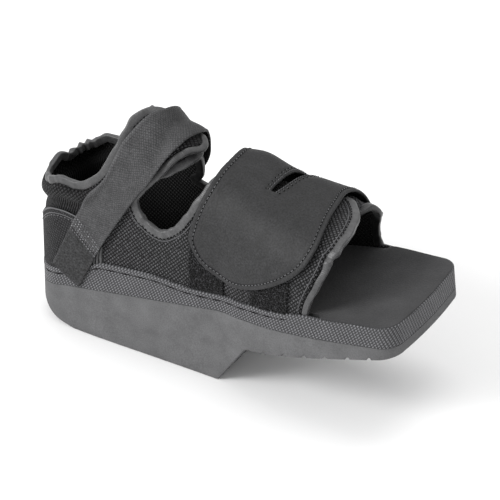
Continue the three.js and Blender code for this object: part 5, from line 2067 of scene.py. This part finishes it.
@dataclass
class AnkleStrap:
    """The strap over the ankle, with its sewn foot and the mesh gathered ahead of it."""

    across: int = 16
    lap: float = 0.5
    lap_run: float = 0.03
    edge_round: float = 0.9
    selvedge: float = 0.25
    selvedge_at: float = 1.1
    selvedge_size: float = 0.7
    rim_light: float = 0.25
    # Painted shade on the strap's underside, which lies towards the upper.
    back_shade: float = 0.15
    dot: tuple = (1.2, 0.46)
    dot_pitch: float = 1.9
    dot_margin: float = 0.04
    dot_stray: float = 0.012
    dot_rows: int = 6
    # The rows of dots run from here below the webbing's end to there above it.
    dots_from: float = 3.7
    dots_to: float = -6.5
    fold_off: float = 0.5
    fold_radius: float = 1.15
    fold_flatness: float = 1.2

    # Rows of the strap's table over which it is painted darker, as shade where it turns away from
    # the light past the crest, and by how much.
    SHADES = ((7.6, 9.2, 0.3), (10.2, 11.2, 0.5))

    # Middle lines of the rolled folds ahead of the foot: millimetres along the shoe and up it.
    FOLDS = (
        ((55.6, 7.0), (54.7, 12.0), (54.6, 17.0), (55.4, 20.0)),
        ((58.4, 7.0), (57.3, 13.0), (57.4, 19.0), (58.6, 23.0)),
        ((61.4, 7.0), (60.2, 14.0), (60.0, 21.0), (60.8, 26.0)),
    )

    def rows(self, start: float, end: float, steps: int) -> Array:
        """Rows of the strap's table between two of its places."""
        places = np.linspace(round(start * 100), round(end * 100), steps + 1).round()
        return spline(STRAP, 100 * (len(STRAP) - 1))[places.astype(int)]

    def laid(self, rows: Array, share: Array, lift: Array | float) -> Array:
        """Points on the strap.

        Args:
            rows: Its rows.
            share: Shares of its width.
            lift: How far off its middle.

        Returns:
            The points, by row and share.
        """
        rear, front = rows[:, None, 0:2], rows[:, None, 2:4]
        middle = rear + (front - rear) * share[None, :, None]
        distance = rows[:, None, 4] + SIZES.strap / 2 + lift + 0 * middle[..., 0]
        return LAST.off_last(middle[..., 0] * SIZES.length, middle[..., 1], distance)

    def band(self, start: float, end: float, steps: int, selvedge: float) -> Skin:
        """A length of strap between two rows of its table.

        Args:
            start: The first row.
            end: The last row.
            steps: How many stretches to divide it into.
            selvedge: How much its edges stand proud.

        Returns:
            The mesh.
        """
        rows = self.rows(start, end, steps).copy()
        if start > 1:
            place = np.linspace(0, 1, len(rows))
            rows[:, 4] += self.lap * (1 - smoothstep(place, 0.0, self.lap_run))
        share = (1 - np.cos(np.linspace(0, math.pi, self.across + 1))) / 2
        edge = np.minimum(share, 1 - share) * SIZES.strap_width
        full = np.sqrt(1 - (1 - np.clip(edge / self.edge_round, 0, 1)) ** 2).clip(0.35)
        bead = selvedge * hump(edge, self.selvedge_at, self.selvedge_size)
        low = self.laid(rows, share, -SIZES.strap / 2 * full)
        high = self.laid(rows, share, SIZES.strap / 2 * full + bead)
        skin = swept(np.concatenate([low, high[:, ::-1]], 1))
        wide = np.concatenate([share, share[::-1]]) * SIZES.strap_width
        skin.flat = mapped(run_of(high.mean(1)), wide)
        rim = 1 + self.rim_light * (1 - smoothstep(edge, 1.4, 2.0))
        # Painted shade on the underside and past the crest.
        face = np.concatenate([np.full_like(rim, self.back_shade), rim[::-1]])
        place = np.linspace(start, end, len(rows))
        tone = 1 - sum(depth * smoothstep(place, *ends) for *ends, depth in self.SHADES)
        skin.shaded((tone[:, None] * face).ravel())
        return skin

    def dots(self) -> None:
        """Six rows of fine stitches where the webbing is sewn to its foot."""
        middle = np.array([0.5])
        joint = run_of(self.laid(self.rows(0, STRAP_JOINT, 200), middle, 0.0)[:, 0])[-1]
        rows = self.rows(0, STRAP_JOINT + 1, 400)
        run = run_of(self.laid(rows, middle, 0.0)[:, 0])
        source = np.random.default_rng(51)
        count = round(SIZES.strap_width / self.dot_pitch)
        dots = []
        for back in np.linspace(self.dots_from, self.dots_to, self.dot_rows):
            i = int(np.searchsorted(run, joint - back))
            height = SIZES.strap / 2 + (0.05 if back > 1 else 0.3)
            share = np.linspace(self.dot_margin, 1 - self.dot_margin, count)
            share = share + source.uniform(-self.dot_stray, self.dot_stray)
            places = self.laid(rows[i : i + 1], share, height)[0]
            ahead = self.laid(rows[i - 3 : i - 2], share, height)[0]
            along = unit(np.gradient(places, axis=0))
            row = capsules(places, along, np.cross(unit(ahead - places), along), *self.dot)
            tones = source.uniform(0.6, 1.8, count)
            dots.append(row.shaded(np.repeat(tones, len(row.points) // count)))
        merged(dots).piece("strap_dots", THREAD, Slot.LAMINATE.value)

    def folds(self) -> None:
        """The rolled folds that the sewing gathers in the mesh, ahead of the foot."""
        rolls = []
        for rows in self.FOLDS:
            x, g = spline(rows, 40).T
            s = -LAST.arc_at(x)
            track = LAST.off_horseshoe(s, g, np.full(len(s), self.fold_off))
            t = np.linspace(-1, 1, len(s))
            radius = self.fold_radius * np.sqrt(1 - 0.97 * t * t)
            out = normal_at(LAST.horseshoe, s, g, -1)
            rolls.append(cord(track, out, radius, self.fold_flatness))
        merged(rolls).piece("strap_gathers", SATIN, Slot.SATIN.value)

    def build(self) -> None:
        """Makes the webbing, its sewn foot, the stitches and the folds."""
        foot = self.band(0, STRAP_JOINT, 60, 0.0)
        # The foot is in the laminate copy painted lighter for the side light on it.
        foot.piece("strap_foot", LAMINATE_PAINTED_LIT, Slot.LAMINATE.value, "strap_foot_near")
        webbing = self.band(STRAP_JOINT - JOINT_GAP, len(STRAP) - 1, 300, self.selvedge)
        webbing.piece("strap_webbing", STRAP_WEB, Slot.WEBBING.value, "ankle_strap")
        self.dots()
        self.folds()


@dataclass
class Studio:
    """The pale floor, the soft lights and the camera."""

    azimuth: float = math.radians(30.45)
    elevation: float = math.radians(34.0)
    distance: float = 2.5
    target: tuple = (0.097, 0.0, 0.05)
    aim_right: float = 0.00787
    aim_up: float = 0.02453
    lens: float = 271.6
    sensor: float = 36.0
    near: float = 0.1
    far: float = 20.0
    floor_reach: float = 9.0
    floor_roughness: float = 0.9
    world_strength: float = 0.75
    lit: tuple = (0.1, 0.0, 0.07)

    # Each lamp's name, place, size and power.
    LAMPS = (("key", (-0.9, -1.5, 1.3), 0.9, 38), ("top", (0.2, 0.5, 2.0), 1.4, 16))

    def camera(self) -> None:
        """The camera at the photograph's angle."""
        angles, both = (self.azimuth, self.elevation), (math.sin, math.cos)
        sa, ca, se, ce = (wave(angle) for angle in angles for wave in both)
        back = Vector((sa * ce, -ca * ce, se))
        right = Vector((ca, sa, 0))
        up = Vector((-se * sa, se * ca, ce))
        target = Vector(self.target)
        data = bpy.data.cameras.new("camera")
        data.lens, data.sensor_width = self.lens, self.sensor
        data.clip_start, data.clip_end = self.near, self.far
        made = placed("camera", data)
        made.location = target + back * self.distance
        aim = target + right * self.aim_right + up * self.aim_up
        made.rotation_euler = (aim - made.location).to_track_quat("-Z", "Y").to_euler()
        bpy.context.scene.camera = made

    def lamp(self, name: str, place: tuple, size: float, power: float) -> None:
        """A square soft light that looks at the shoe.

        Args:
            name: Its name.
            place: Where it is.
            size: Its side.
            power: Its power.
        """
        data = bpy.data.lights.new(name, "AREA")
        data.energy, data.size = power, size
        made = placed(name, data)
        made.location = place
        aim = Vector(self.lit) - Vector(place)
        made.rotation_euler = aim.to_track_quat("-Z", "Y").to_euler()

    def floor(self) -> None:
        """A wide pale floor."""
        mesh = bpy.data.meshes.new("floor")
        r = self.floor_reach
        mesh.from_pydata([(-r, -r, 0), (r, -r, 0), (r, r, 0), (-r, r, 0)], [], [(0, 1, 2, 3)])
        made = placed("floor", mesh)
        material = bpy.data.materials.new("painted_floor_matt")
        material.use_nodes = True
        shader = material.node_tree.nodes["Principled BSDF"]
        shader.inputs["Base Color"].default_value = linear("F4F4F4")
        shader.inputs["Roughness"].default_value = self.floor_roughness
        mesh.materials.append(material)

    def build(self) -> None:
        """Sets up everything round the shoe."""
        self.camera()
        self.floor()
        world = bpy.data.worlds.new("studio")
        world.use_nodes = True
        background = world.node_tree.nodes["Background"]
        background.inputs["Color"].default_value = linear("FFFFFF")
        background.inputs["Strength"].default_value = self.world_strength
        bpy.context.scene.world = world
        for lamp in self.LAMPS:
            self.lamp(*lamp)
        bpy.context.scene.view_settings.view_transform = "Standard"


def main() -> None:
    """Builds every sub-assembly and the studio."""
    logging.basicConfig(level=logging.INFO, format="%(name)s: %(message)s")
    for assembly in (Platform(), Upper(), HeelCounter(), InstepFlap(), AnkleStrap(), Studio()):
        assembly.build()
        LOG.info("%s is in place", type(assembly).__name__)


if __name__ == "__main__":
    main()
